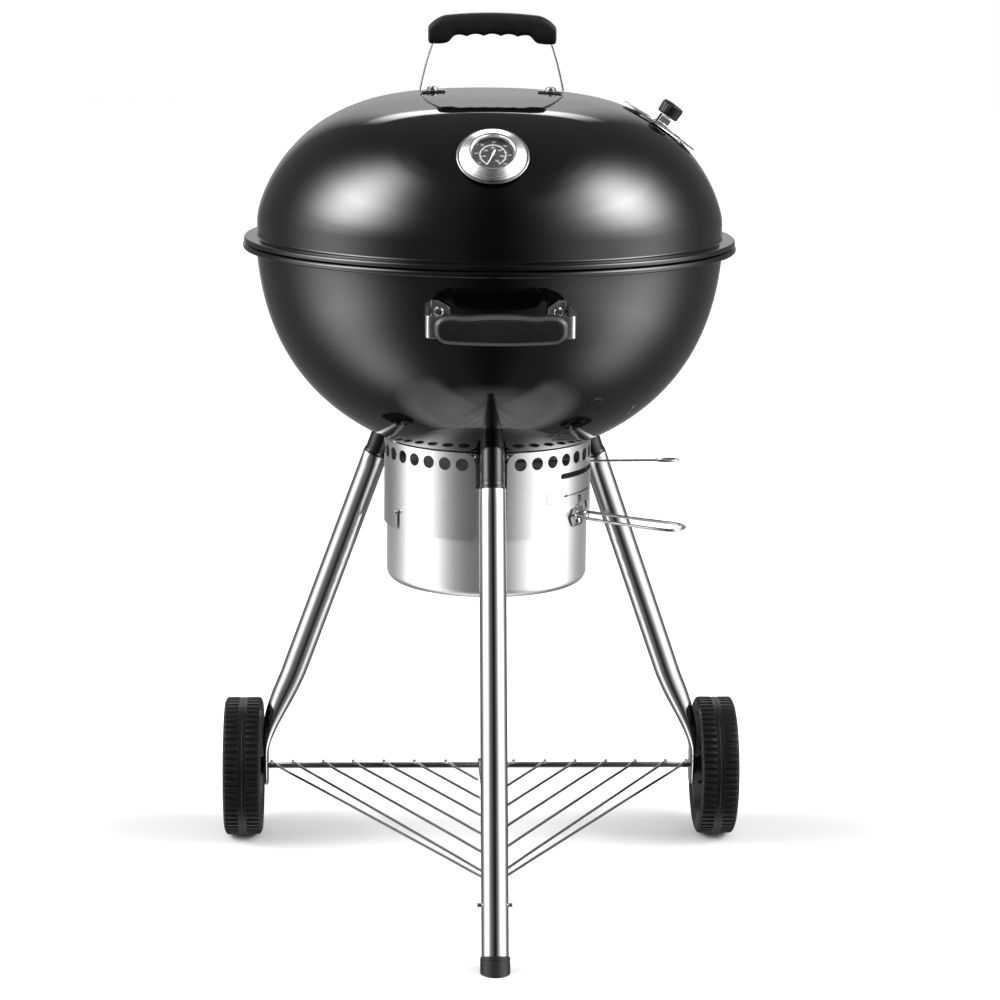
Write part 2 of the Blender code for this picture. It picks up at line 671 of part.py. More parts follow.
LEGS = (("front", -90.0), ("left", 150.0), ("right", 30.0))

# the sockets end on the bowl's underside
bowl_cut_pts = offset_curve(bowl_curve, -GAP)[3:-1]
bowl_cut_pts += [(0.0, BOWL_Z0 - BOWL_DROP - GAP), (0.0, bowl_cut_pts[0][1])]
bowl_cutter = cutter("cut_under_bowl", turned(bowl_cut_pts))

for name, deg in LEGS:
    d = leg_dir(deg)
    top = leg_axis(deg, 0.612)
    end = leg_axis(deg, LEG_TOP_Z) + d * SOCKET_IN_LEG
    L = (end - top).length
    sock = turned([(SOCKET_ID / 2, 0.0), (SOCKET_OD / 2, 0.0), (SOCKET_OD / 2, L), (SOCKET_ID / 2, L)],
                  20, place(top, d))
    s = finish_object("leg_socket_" + name, sock, "enamel")
    boolean(s, bowl_cutter)

# front leg: a plain tube, ending in the foot cap
d = leg_dir(-90)
p0 = leg_axis(-90, LEG_TOP_Z)
p1 = leg_axis(-90, 0.0080)
L = (p1 - p0).length
leg_front = finish_object(
    "leg_front", turned([(LEG_ID / 2, 0), (LEG_OD / 2, 0), (LEG_OD / 2, L), (LEG_ID / 2, L)], 20,
                        place(p0, d)), "chrome")
cap_top = leg_axis(-90, FOOT_H)
cap = turned([(LEG_ID / 2 - GAP, -0.012 + 0.0), (LEG_ID / 2 - GAP, (p1 - cap_top).length + GAP),
              (LEG_OD / 2 + 0.0004, (p1 - cap_top).length + GAP),
              (LEG_OD / 2 + 0.0004, 0.0), (FOOT_OD / 2 - 0.0006, 0.0), (FOOT_OD / 2, 0.0012),
              (FOOT_OD / 2, 0.045), (0.0, 0.045), (0.0, -0.012)], 20, place(cap_top, d))
foot_cap = finish_object("foot_cap", cap, "wheel_plastic")
boolean(foot_cap, cutter("cut_floor", box(-0.06, 0.06, -0.45, -0.30, -0.06, 0.0)))

# rear legs: the tube is pressed flat where the axle goes through
for name, deg, sx in (("left", 150.0, -1), ("right", 30.0, 1)):
    stations = [(LEG_TOP_Z, 1.0, 1.0), (0.230, 1.0, 1.0), (0.190, 0.93, 1.07), (0.163, 0.74, 1.17),
                (0.138, 0.50, 1.29), (0.120, 0.27, 1.38), (0.108, 0.5 * TONGUE_T / (LEG_OD / 2), 1.42),
                (0.0790, 0.5 * TONGUE_T / (LEG_OD / 2), 1.36), (0.0680, 0.5 * TONGUE_T / (LEG_OD / 2), 0.90)]

    def centre(z):
        c = leg_axis(deg, z)
        u = min(1.0, max(0.0, (0.230 - z) / (0.230 - 0.108)))
        u = u * u
        c.x = c.x * (1 - u) + sx * TONGUE_X * u
        c.y = c.y * (1 - u) + (AXLE_Y + 0.16 * (WHEEL_R - z)) * u
        return c

    def section(z, fa, fb, r):
        c = centre(z)
        dd = (centre(z - 0.004) - centre(z + 0.004)).normalized() if z < 0.52 else leg_dir(deg)
        u = (Vector((1, 0, 0)) - dd * dd.x).normalized()
        v = dd.cross(u)
        n = 16
        return [c + u * (r * fa * math.cos(2 * math.pi * k / n)) + v * (r * fb * math.sin(2 * math.pi * k / n))
                for k in range(n)]

    leg = finish_object("leg_" + name, loft([section(z, a, b, LEG_OD / 2) for z, a, b in stations]), "chrome")
    top_d = leg_dir(deg)
    t0 = leg_axis(deg, LEG_TOP_Z) - top_d * 0.02
    t1 = leg_axis(deg, 0.235)
    boolean(leg, cutter("cut_bore_" + name, rod(t0, t1, LEG_ID / 2, 16)))
    boolean(leg, cutter("cut_axle_" + name, rod((sx * 0.25, AXLE_Y, WHEEL_R), (sx * 0.31, AXLE_Y, WHEEL_R),
                                                AXLE_D / 2 + 0.0004, 16)))

# ------------------------------------------------------------ axle and wheels
finish_object("axle", rod((-AXLE_HALF, AXLE_Y, WHEEL_R), (AXLE_HALF, AXLE_Y, WHEEL_R), AXLE_D / 2, 16),
              "chrome", origin=(0, AXLE_Y, WHEEL_R))
R, W = WHEEL_R, WHEEL_HALF_W
wheel_pts = [(0.00445, -0.0258), (0.0138, -0.0258), (0.0158, -0.0060), (0.0680, -0.0060), (0.0730, -0.0215),
             (0.0820, -W), (0.0878, -W + 0.0016), (R, -W + 0.0060), (R, W - 0.0060), (0.0878, W - 0.0016),
             (0.0820, W), (0.0730, 0.0215), (0.0680, 0.0060), (0.0200, 0.0060), (0.0185, 0.0170), (0.00445, 0.0170)]
for name, sx in (("left", -1), ("right", 1)):
    c = Vector((sx * WHEEL_X, AXLE_Y, WHEEL_R))
    finish_object("wheel_" + name, turned(wheel_pts, 20, place(c, (sx, 0, 0), (0, 0, 1))),
                  "wheel_plastic", origin=c)
    # the cap sits over the axle's end and covers the hub
    cap_pts = [(0.0, W - 0.0006), (0.0, W + 0.0020), (0.0120, W + 0.0012), (0.0190, W - 0.0020),
               (0.0205, 0.0190), (0.0205, 0.0175), (0.0185, 0.0175), (0.0175, 0.0215), (0.0110, W - 0.0006)]
    finish_object("hub_cap_" + name, turned(cap_pts, 16, place(c, (sx, 0, 0), (0, 0, 1))),
                  "wheel_plastic", origin=c)

# ----------------------------------------------------------------- bottom rack
y_front = -LEG_R_AXLE - LEG_SPLAY * (WHEEL_R - RACK_FRONT_Z)
y_pin = -LEG_R_AXLE - LEG_SPLAY * (WHEEL_R - PIN_Z)


def rack_z(y):
    return RACK_REAR_Z + (RACK_FRONT_Z - RACK_REAR_Z) * (AXLE_Y - y) / (AXLE_Y - y_front)


def hook(x, y, r):
    """Path of a bar's end that rises over the axle and turns down behind it."""
    q = (AXLE_D / 2 + GAP + r) / math.cos(math.radians(22.5))
    return [(x, AXLE_Y + q * math.cos(a), WHEEL_R + q * math.sin(a))
            for a in (math.radians(5), math.radians(50), math.radians(95), math.radians(133))]


# the middle bar runs into the front leg and stands on the cross pin inside it
sr = RACK_SPINE / 2
spine_path = hook(0.0, AXLE_Y, sr) + [(0, AXLE_Y - 0.016, rack_z(AXLE_Y - 0.016)), (0, y_front + 0.004, RACK_FRONT_Z),
                                      (0, y_pin + 0.0006, RACK_FRONT_Z - 0.0055),
                                      (0, y_pin + 0.0002, PIN_Z + PIN_D / 2 + GAP)]
bottom_rack = finish_object("bottom_rack", tube_path(spine_path, sr, 8), "wire_steel")
vees = []
for i, x in enumerate(RACK_SPANS):
    r = RACK_WIRE / 2
    lean = 1.0 / RACK_RUN
    side = hook(x, AXLE_Y, r) + [(x - 0.014 * lean, AXLE_Y - 0.014, rack_z(AXLE_Y - 0.014))]
    y_apex = AXLE_Y - RACK_RUN * x
    if y_apex < y_front + 0.022:             # the widest pair ends against the bar, behind the leg
        y_apex = y_front + 0.022
    path = [(-p[0], p[1], p[2]) for p in side] + [(0.0, y_apex, rack_z(y_apex))] + side[::-1]
    vees.append(tube_path(path, r, 5))
boolean(bottom_rack, cutter("rack_vees", merge(*vees)), "UNION")
finish_object("rack_pin", rod((-0.0208, y_pin, PIN_Z), (0.0208, y_pin, PIN_Z), PIN_D / 2, 12), "zinc")
boolean(leg_front, cutter("cut_pin", rod((-0.03, y_pin, PIN_Z), (0.03, y_pin, PIN_Z), PIN_D / 2 + GAP, 12)))
boolean(leg_front, cutter("cut_spine", rod((0, y_front + 0.03, rack_z(y_front + 0.03)), (0, y_front, rack_z(y_front)),
                                           sr + 0.0008, 12)))

# ------------------------------------------------------------------ grates
def ring(radius, wire, z, seg=32, sides=5):
    return turned([(radius + wire * math.cos(2 * math.pi * k / sides), z + wire * math.sin(2 * math.pi * k / sides))
                   for k in range(sides)], seg, phase=0.031)


def grate(name, radius, z, wire, bars, n, cross, finish):
    g = finish_object(name, ring(radius, wire, z), finish)
    parts = []
    for k in range(n):
        x = -radius + 2 * radius * (k + 0.5) / n + 0.0002
        half = math.sqrt(max(radius ** 2 - x ** 2, 1e-9)) - 0.0005
        parts.append(rod((x, -half, z + 0.0004), (x, half, z + 0.0004), bars, 4))
    boolean(g, cutter(name + "_bars", merge(*parts)), "UNION")
    parts = []
    for y in cross:
        half = math.sqrt(radius ** 2 - y ** 2) - 0.0005
        parts.append(rod((-half, y, z - bars * 0.9), (half, y, z - bars * 0.9), bars, 4))
    boolean(g, cutter(name + "_cross", merge(*parts)), "UNION")
    return g


cooking_grate = grate("cooking_grate", COOK_R, COOK_Z, 0.0030, 0.0022, 19, (-0.11, 0.11), "wire_steel")
charcoal_grate = grate("charcoal_grate", COAL_R, COAL_Z, 0.0032, 0.0028, 9, (-0.09, 0.09), "wire_steel")

# tabs that carry the cooking grate
tab_top = COOK_Z - 0.0030 - GAP
for k, deg in enumerate((-30.0, 90.0, 210.0)):
    path = [(0.2540, tab_top - 0.0010), (0.2715, tab_top - 0.0010), (0.2692, tab_top - 0.0170)]
    radial = az(deg, 1.0)
    m = Matrix((radial, (0, 0, 1), radial.cross(Vector((0, 0, 1))))).transposed().to_4x4()
    finish_object("grate_tab_" + "abc"[k], prism(ribbon_outline(path, 0.0020), -0.009, 0.009, m), "enamel_inside")

# the charcoal grate needs no tabs: its ring rests on the bowl's narrowing wall

# ------------------------------------------------------------------- sweep
for k in range(3):
    a = LEVER_AZ + 30.0 + 120.0 * k + SWEEP_SWING
    pts = [(0.050, 0.500), (0.104, 0.500), (0.104, 0.600), (0.050, 0.600)]
    boolean(bowl_shell, cutter("cut_bowl_vent_%d" % k, sector(pts, a - 17.0, a + 17.0, 4)))
boolean(bowl_shell, cutter("cut_bowl_hub", rod((0, 0, 0.50), (0, 0, 0.60), 0.0062, 16)))
bw = 0.0007


def floor_z(r):
    """Height of the bowl's inner face at radius r."""
    pts = bowl_inner
    for (ra, za), (rb, zb) in zip(pts[:-1], pts[1:]):
        if rb <= r <= ra:
            return zb + (za - zb) * (r - rb) / (ra - rb)


blade_r = [0.006, bowl_inner[-2][0], bowl_inner[-3][0], 0.1115]
blade_pts = [(r, floor_z(r) + bw) for r in blade_r] + [(r, floor_z(r) + bw + 0.0014) for r in reversed(blade_r)]
hub_z = bowl_z(0.0) + WALL + bw
hub = turned([(0, hub_z + 0.0060), (0.0100, hub_z + 0.0052), (0.0180, hub_z + 0.0030), (0.0190, floor_z(0.019) + bw),
              (0.0052, floor_z(0.0052) + bw), (0.0052, LEVER_Z - 0.0052), (0, LEVER_Z - 0.0052)], 24)
sweep_blades = finish_object("sweep_blades", hub, "zinc", origin=(0, 0, LEVER_Z + 0.010))
blades = []
for k in range(3):
    a = LEVER_AZ + 30.0 + 120.0 * k
    blades.append(sector(blade_pts, a - 19.5, a + 19.5, 4))
boolean(sweep_blades, cutter("blade_set", merge(*blades)), "UNION")

# lever: flat boss under the bowl, round arm and a loop to hook a finger in
la = Vector((math.cos(math.radians(LEVER_AZ)), math.sin(math.radians(LEVER_AZ)), 0))
lt = Vector((-la.y, la.x, 0))
lever = finish_object("sweep_lever",
                      turned([(0.0056, LEVER_Z - 0.0016), (0.0130, LEVER_Z - 0.0016), (0.0130, LEVER_Z + 0.0016),
                              (0.0056, LEVER_Z + 0.0016)], 20), "zinc", origin=(0, 0, LEVER_Z))
zc = Vector((0, 0, LEVER_Z))
boolean(lever, cutter("lever_arm", rod(la * 0.0115 + zc, la * 0.2150 + zc, 0.0015, 8)), "UNION")
loop = []
lc, lr = 0.2265, 0.0075
for k in range(12):
    a = 2 * math.pi * k / 12
    loop.append(la * (lc + 0.0140 * math.cos(a)) + lt * (lr * math.sin(a)) + zc)
boolean(lever, cutter("lever_loop", tube_path(loop, 0.0016, 5, closed=True)), "UNION")
nut("sweep_nut", (0, 0, LEVER_Z - 0.0016 - GAP), (0, 0, -1), 0.0100, 0.0030, 0.0064)

# -------------------------------------------------------------- ash skirt
g = SKIRT_GAP_DEG
ri, ro = SKIRT_R - SKIRT_T, SKIRT_R
skirt = finish_object("ash_skirt",
                      sector([(ri, SKIRT_BOTTOM), (ro, SKIRT_BOTTOM), (ro, SKIRT_TOP), (ri, SKIRT_TOP)],
                             -90 + g, 270 - g, 40), "brushed")
holes = []
for k in range(16):
    for s in (-1, 1):
        a = -90 + s * (16 + 10 * k)
        holes.append(rod(az(a, ri - 0.006, SKIRT_HOLE_Z), az(a, ro + 0.006, SKIRT_HOLE_Z), SKIRT_HOLE_R, 6))
boolean(skirt, cutter("cut_skirt_holes", merge(*holes)))
boolean(skirt, cutter("cut_lever_slot",
                      sector([(ri - 0.006, LEVER_Z - 0.0034), (ro + 0.006, LEVER_Z - 0.0034),
                              (ro + 0.006, LEVER_Z + 0.0034), (ri - 0.006, LEVER_Z + 0.0034)], -48, 12, 12)))


def skirt_notch(a0, a1, w0, w1, z0, z1):
    """Cut through the skirt whose sides lean: full width at z0, narrower at z1."""
    bm = bmesh.new()
    steps = 12
    rings = []
    for k in range(steps + 1):
        row = []
        for r, z, w in ((ri - 0.008, z0, w0), (ro + 0.008, z0, w0), (ro + 0.008, z1, w1), (ri - 0.008, z1, w1)):
            a = math.radians((a0 + a1) / 2 + (a1 - a0) / 2 * w * (2 * k / steps - 1))
            row.append(bm.verts.new((r * math.cos(a), r * math.sin(a), z)))
        rings.append(row)
    for k in range(steps):
        for i in range(4):
            j = (i + 1) % 4
            bm.faces.new((rings[k][i], rings[k][j], rings[k + 1][j], rings[k + 1][i]))
    bm.faces.new(rings[0])
    bm.faces.new(rings[-1][::-1])
    bmesh.ops.recalc_face_normals(bm, faces=bm.faces)
    return bm


boolean(skirt, cutter("cut_notch_handle", skirt_notch(-57, -3, 1.10, 0.48, SKIRT_BOTTOM - 0.0052, SKIRT_CUT_TOP)))
boolean(skirt, cutter("cut_notch_back", skirt_notch(4, 176, 1.03, 0.86, SKIRT_BOTTOM - 0.0052, SKIRT_CUT_TOP)))

# two bolts clamp the skirt's ends to the bowl
for side, sx in (("left", -1), ("right", 1)):
    a = -90 + sx * 11.0
    rb = 0.1190
    n = bowl_normal(rb)
    axis = az(a, n.x) + Vector((0, 0, n.y))
    base = az(a, rb, bowl_z(rb))
    # tab: bent inwards from the skirt's top edge, lying along the bowl
    t = Vector((-n.y, n.x))
    w = az(a, t.x) + Vector((0, 0, t.y))
    tan = az(a + 90, 1.0)
    m = Matrix((w, tan, axis)).transposed().to_4x4()
    m.translation = base + axis * 0.0008
    boolean(skirt, cutter("skirt_tab_" + side, prism([(-0.0105, -0.007), (0.0088, -0.007), (0.0088, 0.007),
                                                      (-0.0105, 0.007)], 0.0, 0.0012, m)), "UNION")
    c = cutter("cut_skirt_bolt_" + side, rod(base - axis * 0.01, base + axis * 0.01, 0.0031))
    boolean(skirt, c)
    boolean(bowl_shell, c)
    bolt("skirt_bolt_" + side, base + axis * (0.0008 + 0.0012 + GAP), axis, 0.0052, 0.0042, 0.0025, 0.0105)

# ------------------------------------------------------------------ ash can
f = 0.012
can_out = [(CAN_R + 0.0015, CAN_TOP - 0.0030), (CAN_R + 0.0018, CAN_TOP - 0.0012), (CAN_R + 0.0006, CAN_TOP)]
pts = [(0.0, CAN_BOTTOM)]
for k in range(4):
    a = math.radians(-90 + 90 * k / 3)
    pts.append((CAN_R - f + f * math.cos(a), CAN_BOTTOM + f + f * math.sin(a)))
pts += [(CAN_R, CAN_TOP - 0.0042)] + can_out + [(CAN_R - CAN_T, CAN_TOP - 0.0008)]
for k in range(4):
    a = math.radians(-90 * k / 3)
    pts.append((CAN_R - f + (f - CAN_T) * math.cos(a), CAN_BOTTOM + f + (f - CAN_T) * math.sin(a)))
pts += [(0.0, CAN_BOTTOM + CAN_T)]
ash_can = finish_object("ash_can", turned(pts), "satin_aluminium")

# handle: a hexagonal plate on the can, with a long wire loop
ha = CAN_HANDLE_AZ
hz = 0.4748
rad = az(ha, 1.0)
tan = az(ha + 90, 1.0)
up = Vector((0, 0, 1))
hm = Matrix((tan, up, rad)).transposed().to_4x4()
hm.translation = rad * (CAN_R + 0.0005) + up * hz
hex_pts = [(0.0195, 0.0), (0.0120, 0.0118), (-0.0120, 0.0118), (-0.0195, 0.0), (-0.0120, -0.0118), (0.0120, -0.0118)]
can_plate = finish_object("can_handle_plate", prism(hex_pts, 0.0, 0.0014, hm), "zinc")
hl = 0.1400
hw = 0.0200
base_r = CAN_R + 0.0005 + 0.0014 + GAP
wz = hz + 0.0030
pth = []
for s in (-1, 1):
    row = [rad * (base_r + 0.0020) + tan * (s * 0.0075) + up * wz,
           rad * (base_r + 0.0022) + tan * (s * 0.0105) + up * wz,
           rad * (base_r + 0.0060) + tan * (s * 0.0150) + up * wz,
           rad * (base_r + 0.0300) + tan * (s * 0.0175) + up * (wz - 0.0010),
           rad * (base_r + hl - 0.0160) + tan * (s * hw) + up * (wz - 0.0030),
           rad * (base_r + hl - 0.0050) + tan * (s * hw * 0.78) + up * (wz - 0.0033),
           rad * (base_r + hl) + tan * (s * hw * 0.34) + up * (wz - 0.0034)]
    pth.append(row)
wire_pts = pth[0] + pth[1][::-1]
can_handle_wire = finish_object("can_handle_wire", tube_path(wire_pts, 0.0019, 8), "zinc")
# rivet through the plate's middle
finish_object("can_plate_rivet",
              turned([(0, 0.0052), (0.0030, 0.0046), (0.0044, 0.0019), (0.0020, 0.0019), (0.0020, -0.0018),
                      (0, -0.0018)], 12, hm @ Matrix.Translation((0, -0.0052, 0))), "zinc")
c = cutter("cut_plate_rivet", turned([(0, -0.004), (0.0024, -0.004), (0.0024, 0.004), (0, 0.004)], 12,
                                     hm @ Matrix.Translation((0, -0.0052, 0))))
boolean(can_plate, c)
boolean(ash_can, c)
# spring latch above the plate: a bent tongue that keeps the can up
lp = [(0.0012, 0.0132), (0.0012, 0.0172), (0.0016, 0.0250)]
lm = Matrix((rad, up, rad.cross(up))).transposed().to_4x4()
lm.translation = rad * (CAN_R + 0.0005) + up * hz
finish_object("can_latch", prism(ribbon_outline(lp, 0.0010), -0.0032, 0.0032, lm), "zinc")

# the tongue stands in a small upright slot of the skirt
slot = prism([(-0.0046, -0.02), (0.0046, -0.02), (0.0046, 0.0100), (-0.0046, 0.0100)], -0.02, 0.02,
             Matrix((tan, up, rad)).transposed().to_4x4())
bmesh.ops.translate(slot, verts=slot.verts, vec=rad * SKIRT_R + up * (hz + 0.0175))
boolean(skirt, cutter("cut_latch_slot", slot))

# support hook on the left: a peg standing out of the can, in the skirt's keyway
peg_az = -150.0
pz = 0.4795
finish_object("can_peg_left", rod(az(peg_az, CAN_R + 0.0004, pz), az(peg_az, SKIRT_R + 0.0065, pz), 0.0022, 10), "zinc")
finish_object("can_peg_back", rod(az(90, CAN_R + 0.0004, pz), az(90, SKIRT_R + 0.0065, pz), 0.0022, 10), "zinc")
key = prism([(-0.0030, -0.05), (0.0030, -0.05), (0.0030, 0.0030), (-0.0030, 0.0030)], -0.02, 0.02,
            Matrix((az(peg_az + 90, 1.0), up, az(peg_az, 1.0))).transposed().to_4x4())
bmesh.ops.translate(key, verts=key.verts, vec=az(peg_az, SKIRT_R, pz))
boolean(skirt, cutter("cut_keyway", key))
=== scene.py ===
"""Kettle charcoal grill: detailed pieces, materials, camera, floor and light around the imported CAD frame."""
import json
import math

import bmesh
import bpy
from mathutils import Matrix, Vector


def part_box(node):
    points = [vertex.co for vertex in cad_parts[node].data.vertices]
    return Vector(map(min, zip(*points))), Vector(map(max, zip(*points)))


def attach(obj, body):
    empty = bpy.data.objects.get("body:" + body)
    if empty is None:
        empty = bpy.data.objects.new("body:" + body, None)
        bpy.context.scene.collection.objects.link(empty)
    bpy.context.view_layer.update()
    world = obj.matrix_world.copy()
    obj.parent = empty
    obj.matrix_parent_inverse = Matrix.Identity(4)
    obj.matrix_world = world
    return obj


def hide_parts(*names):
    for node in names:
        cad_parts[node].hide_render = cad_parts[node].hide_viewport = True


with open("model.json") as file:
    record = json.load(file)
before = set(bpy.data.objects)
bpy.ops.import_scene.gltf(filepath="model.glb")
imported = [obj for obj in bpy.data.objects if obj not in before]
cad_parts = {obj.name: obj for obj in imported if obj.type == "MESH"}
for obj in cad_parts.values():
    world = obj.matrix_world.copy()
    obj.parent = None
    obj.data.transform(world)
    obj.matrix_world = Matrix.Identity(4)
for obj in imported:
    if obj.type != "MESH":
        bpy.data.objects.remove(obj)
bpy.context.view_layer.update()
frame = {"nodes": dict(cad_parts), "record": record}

nodes = frame["nodes"]
node_body = {n: b for b, ns in frame["record"]["behaviour"]["bodies"].items() for n in ns}
done = set()                                   # CAD nodes that a detailed piece stands for

# ------------------------------------------------------------ layout, as in the CAD
blo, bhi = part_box("bowl_shell")
KY = (blo.y + bhi.y) / 2                       # kettle axis
WALL = 0.0012
GAP = 0.0004
LID_R, LID_Z0, LID_RISE, LID_P, LID_Q = 0.2845, 0.8340, 0.1559, 3.28, 1.489
RIM_Z = 0.8065
LID_LIP_R = 0.3010
BOWL_R, BOWL_Z0, BOWL_DROP, BOWL_P, BOWL_Q = 0.2873, 0.8650, 0.3256, 1.935, 2.770
BOWL_LIP_R = 0.3020
LEG_OD, LEG_ID = 0.0320, 0.0302
LEG_R_AXLE, LEG_SPLAY, LEG_TOP_Z = 0.3374, 0.4063, 0.5269
SOCKET_OD, SOCKET_ID = 0.0290, 0.0260
FOOT_H, FOOT_OD = 0.0165, 0.0352
TONGUE_X, TONGUE_T = 0.2820, 0.0062
WHEEL_R, WHEEL_HALF_W, WHEEL_X = 0.0905, 0.0250, 0.3117
AXLE_D, AXLE_HALF, AXLE_Y = 0.0080, 0.3355, 0.1551
RACK_WIRE, RACK_SPINE = 0.0034, 0.0050
RACK_SPANS = [0.0451, 0.0866, 0.1270, 0.1678, 0.2072, 0.2474, 0.2755]
RACK_RUN = 1.815
PIN_D, PIN_Z, RACK_REAR_Z, RACK_FRONT_Z = 0.0050, 0.0715, 0.0945, 0.0893
SKIRT_R, SKIRT_T, SKIRT_TOP, SKIRT_BOTTOM, SKIRT_CUT_TOP = 0.1284, 0.0010, 0.5648, 0.4577, 0.4912
SKIRT_GAP_DEG, SKIRT_HOLE_R, SKIRT_HOLE_Z = 8.5, 0.0078, 0.5502
CAN_R, CAN_BOTTOM, CAN_TOP, CAN_T, CAN_HANDLE_AZ = 0.1247, 0.3842, 0.5225, 0.0010, -30.0
LEVER_Z, LEVER_AZ = 0.5302, 4.0
COOK_R, COOK_Z, COAL_R, COAL_Z = 0.2680, 0.7535, 0.2150, 0.6346
LH_HALF, LH_TOP, LH_END_BOTTOM, LH_MID_BOTTOM, LH_DEPTH = 0.0770, 1.0842, 1.0466, 1.0554, 0.0270
LH_FOOT_X, LH_BOLT_X, LH_BAR_Z = 0.0858, 0.0715, 1.0630
BH_HALF, BH_Z0, BH_Z1, BH_Y0, BH_Y1 = 0.0755, 0.7283, 0.7646, -0.3530, -0.3345
BH_FOOT_AZ, BH_STRIP_Z, BH_STRIP_H, BH_DROP = 13.8, 0.7582, 0.0250, 0.0085
TH_R, DAMPER_R, DAMPER_ON_LID_R, DAMPER_DISH = 0.2322, 0.0525, 0.2075, 0.40
TH_AZ, LH_Y = -91.6, -0.0180

KM = Matrix.Translation((0.0, KY, 0.0))        # kettle coordinates to the row frame
XZ = Matrix(((1, 0, 0, 0), (0, 0, -1, 0), (0, 1, 0, 0), (0, 0, 0, 1)))


def lid_r(z):
    t = max(0.0, 1.0 - ((z - LID_Z0) / LID_RISE) ** LID_Q) if z > LID_Z0 else 1.0
    return LID_R * t ** (1.0 / LID_P)


def lid_z(r):
    return LID_Z0 + LID_RISE * max(0.0, 1.0 - (r / LID_R) ** LID_P) ** (1.0 / LID_Q)


def lid_normal(r):
    e = 1e-4
    d = Vector((2 * e, lid_z(r + e) - lid_z(r - e)))
    return Vector((-d.y, d.x)).normalized()


def bowl_r(z):
    t = max(0.0, 1.0 - ((BOWL_Z0 - z) / BOWL_DROP) ** BOWL_Q)
    return BOWL_R * t ** (1.0 / BOWL_P)


def bowl_z(r):
    return BOWL_Z0 - BOWL_DROP * max(0.0, 1.0 - (r / BOWL_R) ** BOWL_P) ** (1.0 / BOWL_Q)


def bowl_normal(r):
    e = 1e-4
    d = Vector((2 * e, bowl_z(r + e) - bowl_z(r - e)))
    return Vector((d.y, -d.x)).normalized()


def az(deg, r, z=0.0):
    a = math.radians(deg)
    return Vector((r * math.cos(a), r * math.sin(a), z))


# ----------------------------------------------------------------- mesh helpers
def piece(name, bm, mat, body, *stands_for, matrix=KM, sharp=32.0, slot=None, bevel=None, subsurf=0):
    """A finished mesh object from a bmesh in kettle coordinates, riding on a CAD body."""
    bmesh.ops.remove_doubles(bm, verts=bm.verts, dist=2e-6)
    bmesh.ops.transform(bm, matrix=matrix, verts=bm.verts)
    bmesh.ops.recalc_face_normals(bm, faces=bm.faces)
    me = bpy.data.meshes.new(name)
    bm.to_mesh(me)
    bm.free()
    me.shade_smooth()
    me.set_sharp_from_angle(angle=math.radians(sharp))
    ob = bpy.data.objects.new(name, me)
    bpy.context.scene.collection.objects.link(ob)
    me.materials.append(mat)
    if bevel:
        b = ob.modifiers.new("edge", "BEVEL")
        b.width, b.segments = bevel
        b.limit_method = "ANGLE"
        b.angle_limit = math.radians(40)
        b.harden_normals = False
        b.miter_outer = "MITER_ARC"
    if subsurf:
        s = ob.modifiers.new("round", "SUBSURF")
        s.levels = s.render_levels = subsurf
    if stands_for:
        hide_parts(*stands_for)
        done.update(stands_for)
    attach(ob, body)
    return ob


def cut(ob, *bms, op="DIFFERENCE"):
    """Cuts or joins bmeshes (kettle coordinates) and bakes the result into the piece."""
    for bm in bms:
        bmesh.ops.recalc_face_normals(bm, faces=bm.faces)
        bmesh.ops.transform(bm, matrix=KM, verts=bm.verts)
        me = bpy.data.meshes.new("tool")
        bm.to_mesh(me)
        bm.free()
        tool = bpy.data.objects.new("tool", me)
        bpy.context.scene.collection.objects.link(tool)
        m = ob.modifiers.new("b", "BOOLEAN")
        m.operation, m.object, m.solver = op, tool, "EXACT"
        bake(ob)
        bpy.data.objects.remove(tool)
        bpy.data.meshes.remove(me)
    return ob


def bake(ob, sharp=32.0):
    """Applies the modifiers of a piece."""
    dg = bpy.context.evaluated_depsgraph_get()
    dg.update()
    new = bpy.data.meshes.new_from_object(ob.evaluated_get(dg), preserve_all_data_layers=True, depsgraph=dg)
    old = ob.data
    name = old.name
    ob.modifiers.clear()
    ob.data = new
    bpy.data.meshes.remove(old)
    new.name = name
    new.shade_smooth()
    new.set_sharp_from_angle(angle=math.radians(sharp))


def join(*bms):
    out = bmesh.new()
    for bm in bms:
        me = bpy.data.meshes.new("t")
        bm.to_mesh(me)
        bm.free()
        out.from_mesh(me)
        bpy.data.meshes.remove(me)
    return out


def moved(bm, matrix):
    bmesh.ops.transform(bm, matrix=matrix, verts=bm.verts)
    return bm


def place(origin, zdir, xdir=(1, 0, 0)):
    z = Vector(zdir).normalized()
    x = Vector(xdir)
    x = x - z * x.dot(z)
    if x.length < 1e-6:
        x = Vector((0, 1, 0)) - z * z.y
    x.normalize()
    y = z.cross(x)
    m = Matrix((x, y, z)).transposed().to_4x4()
    m.translation = Vector(origin)
    return m


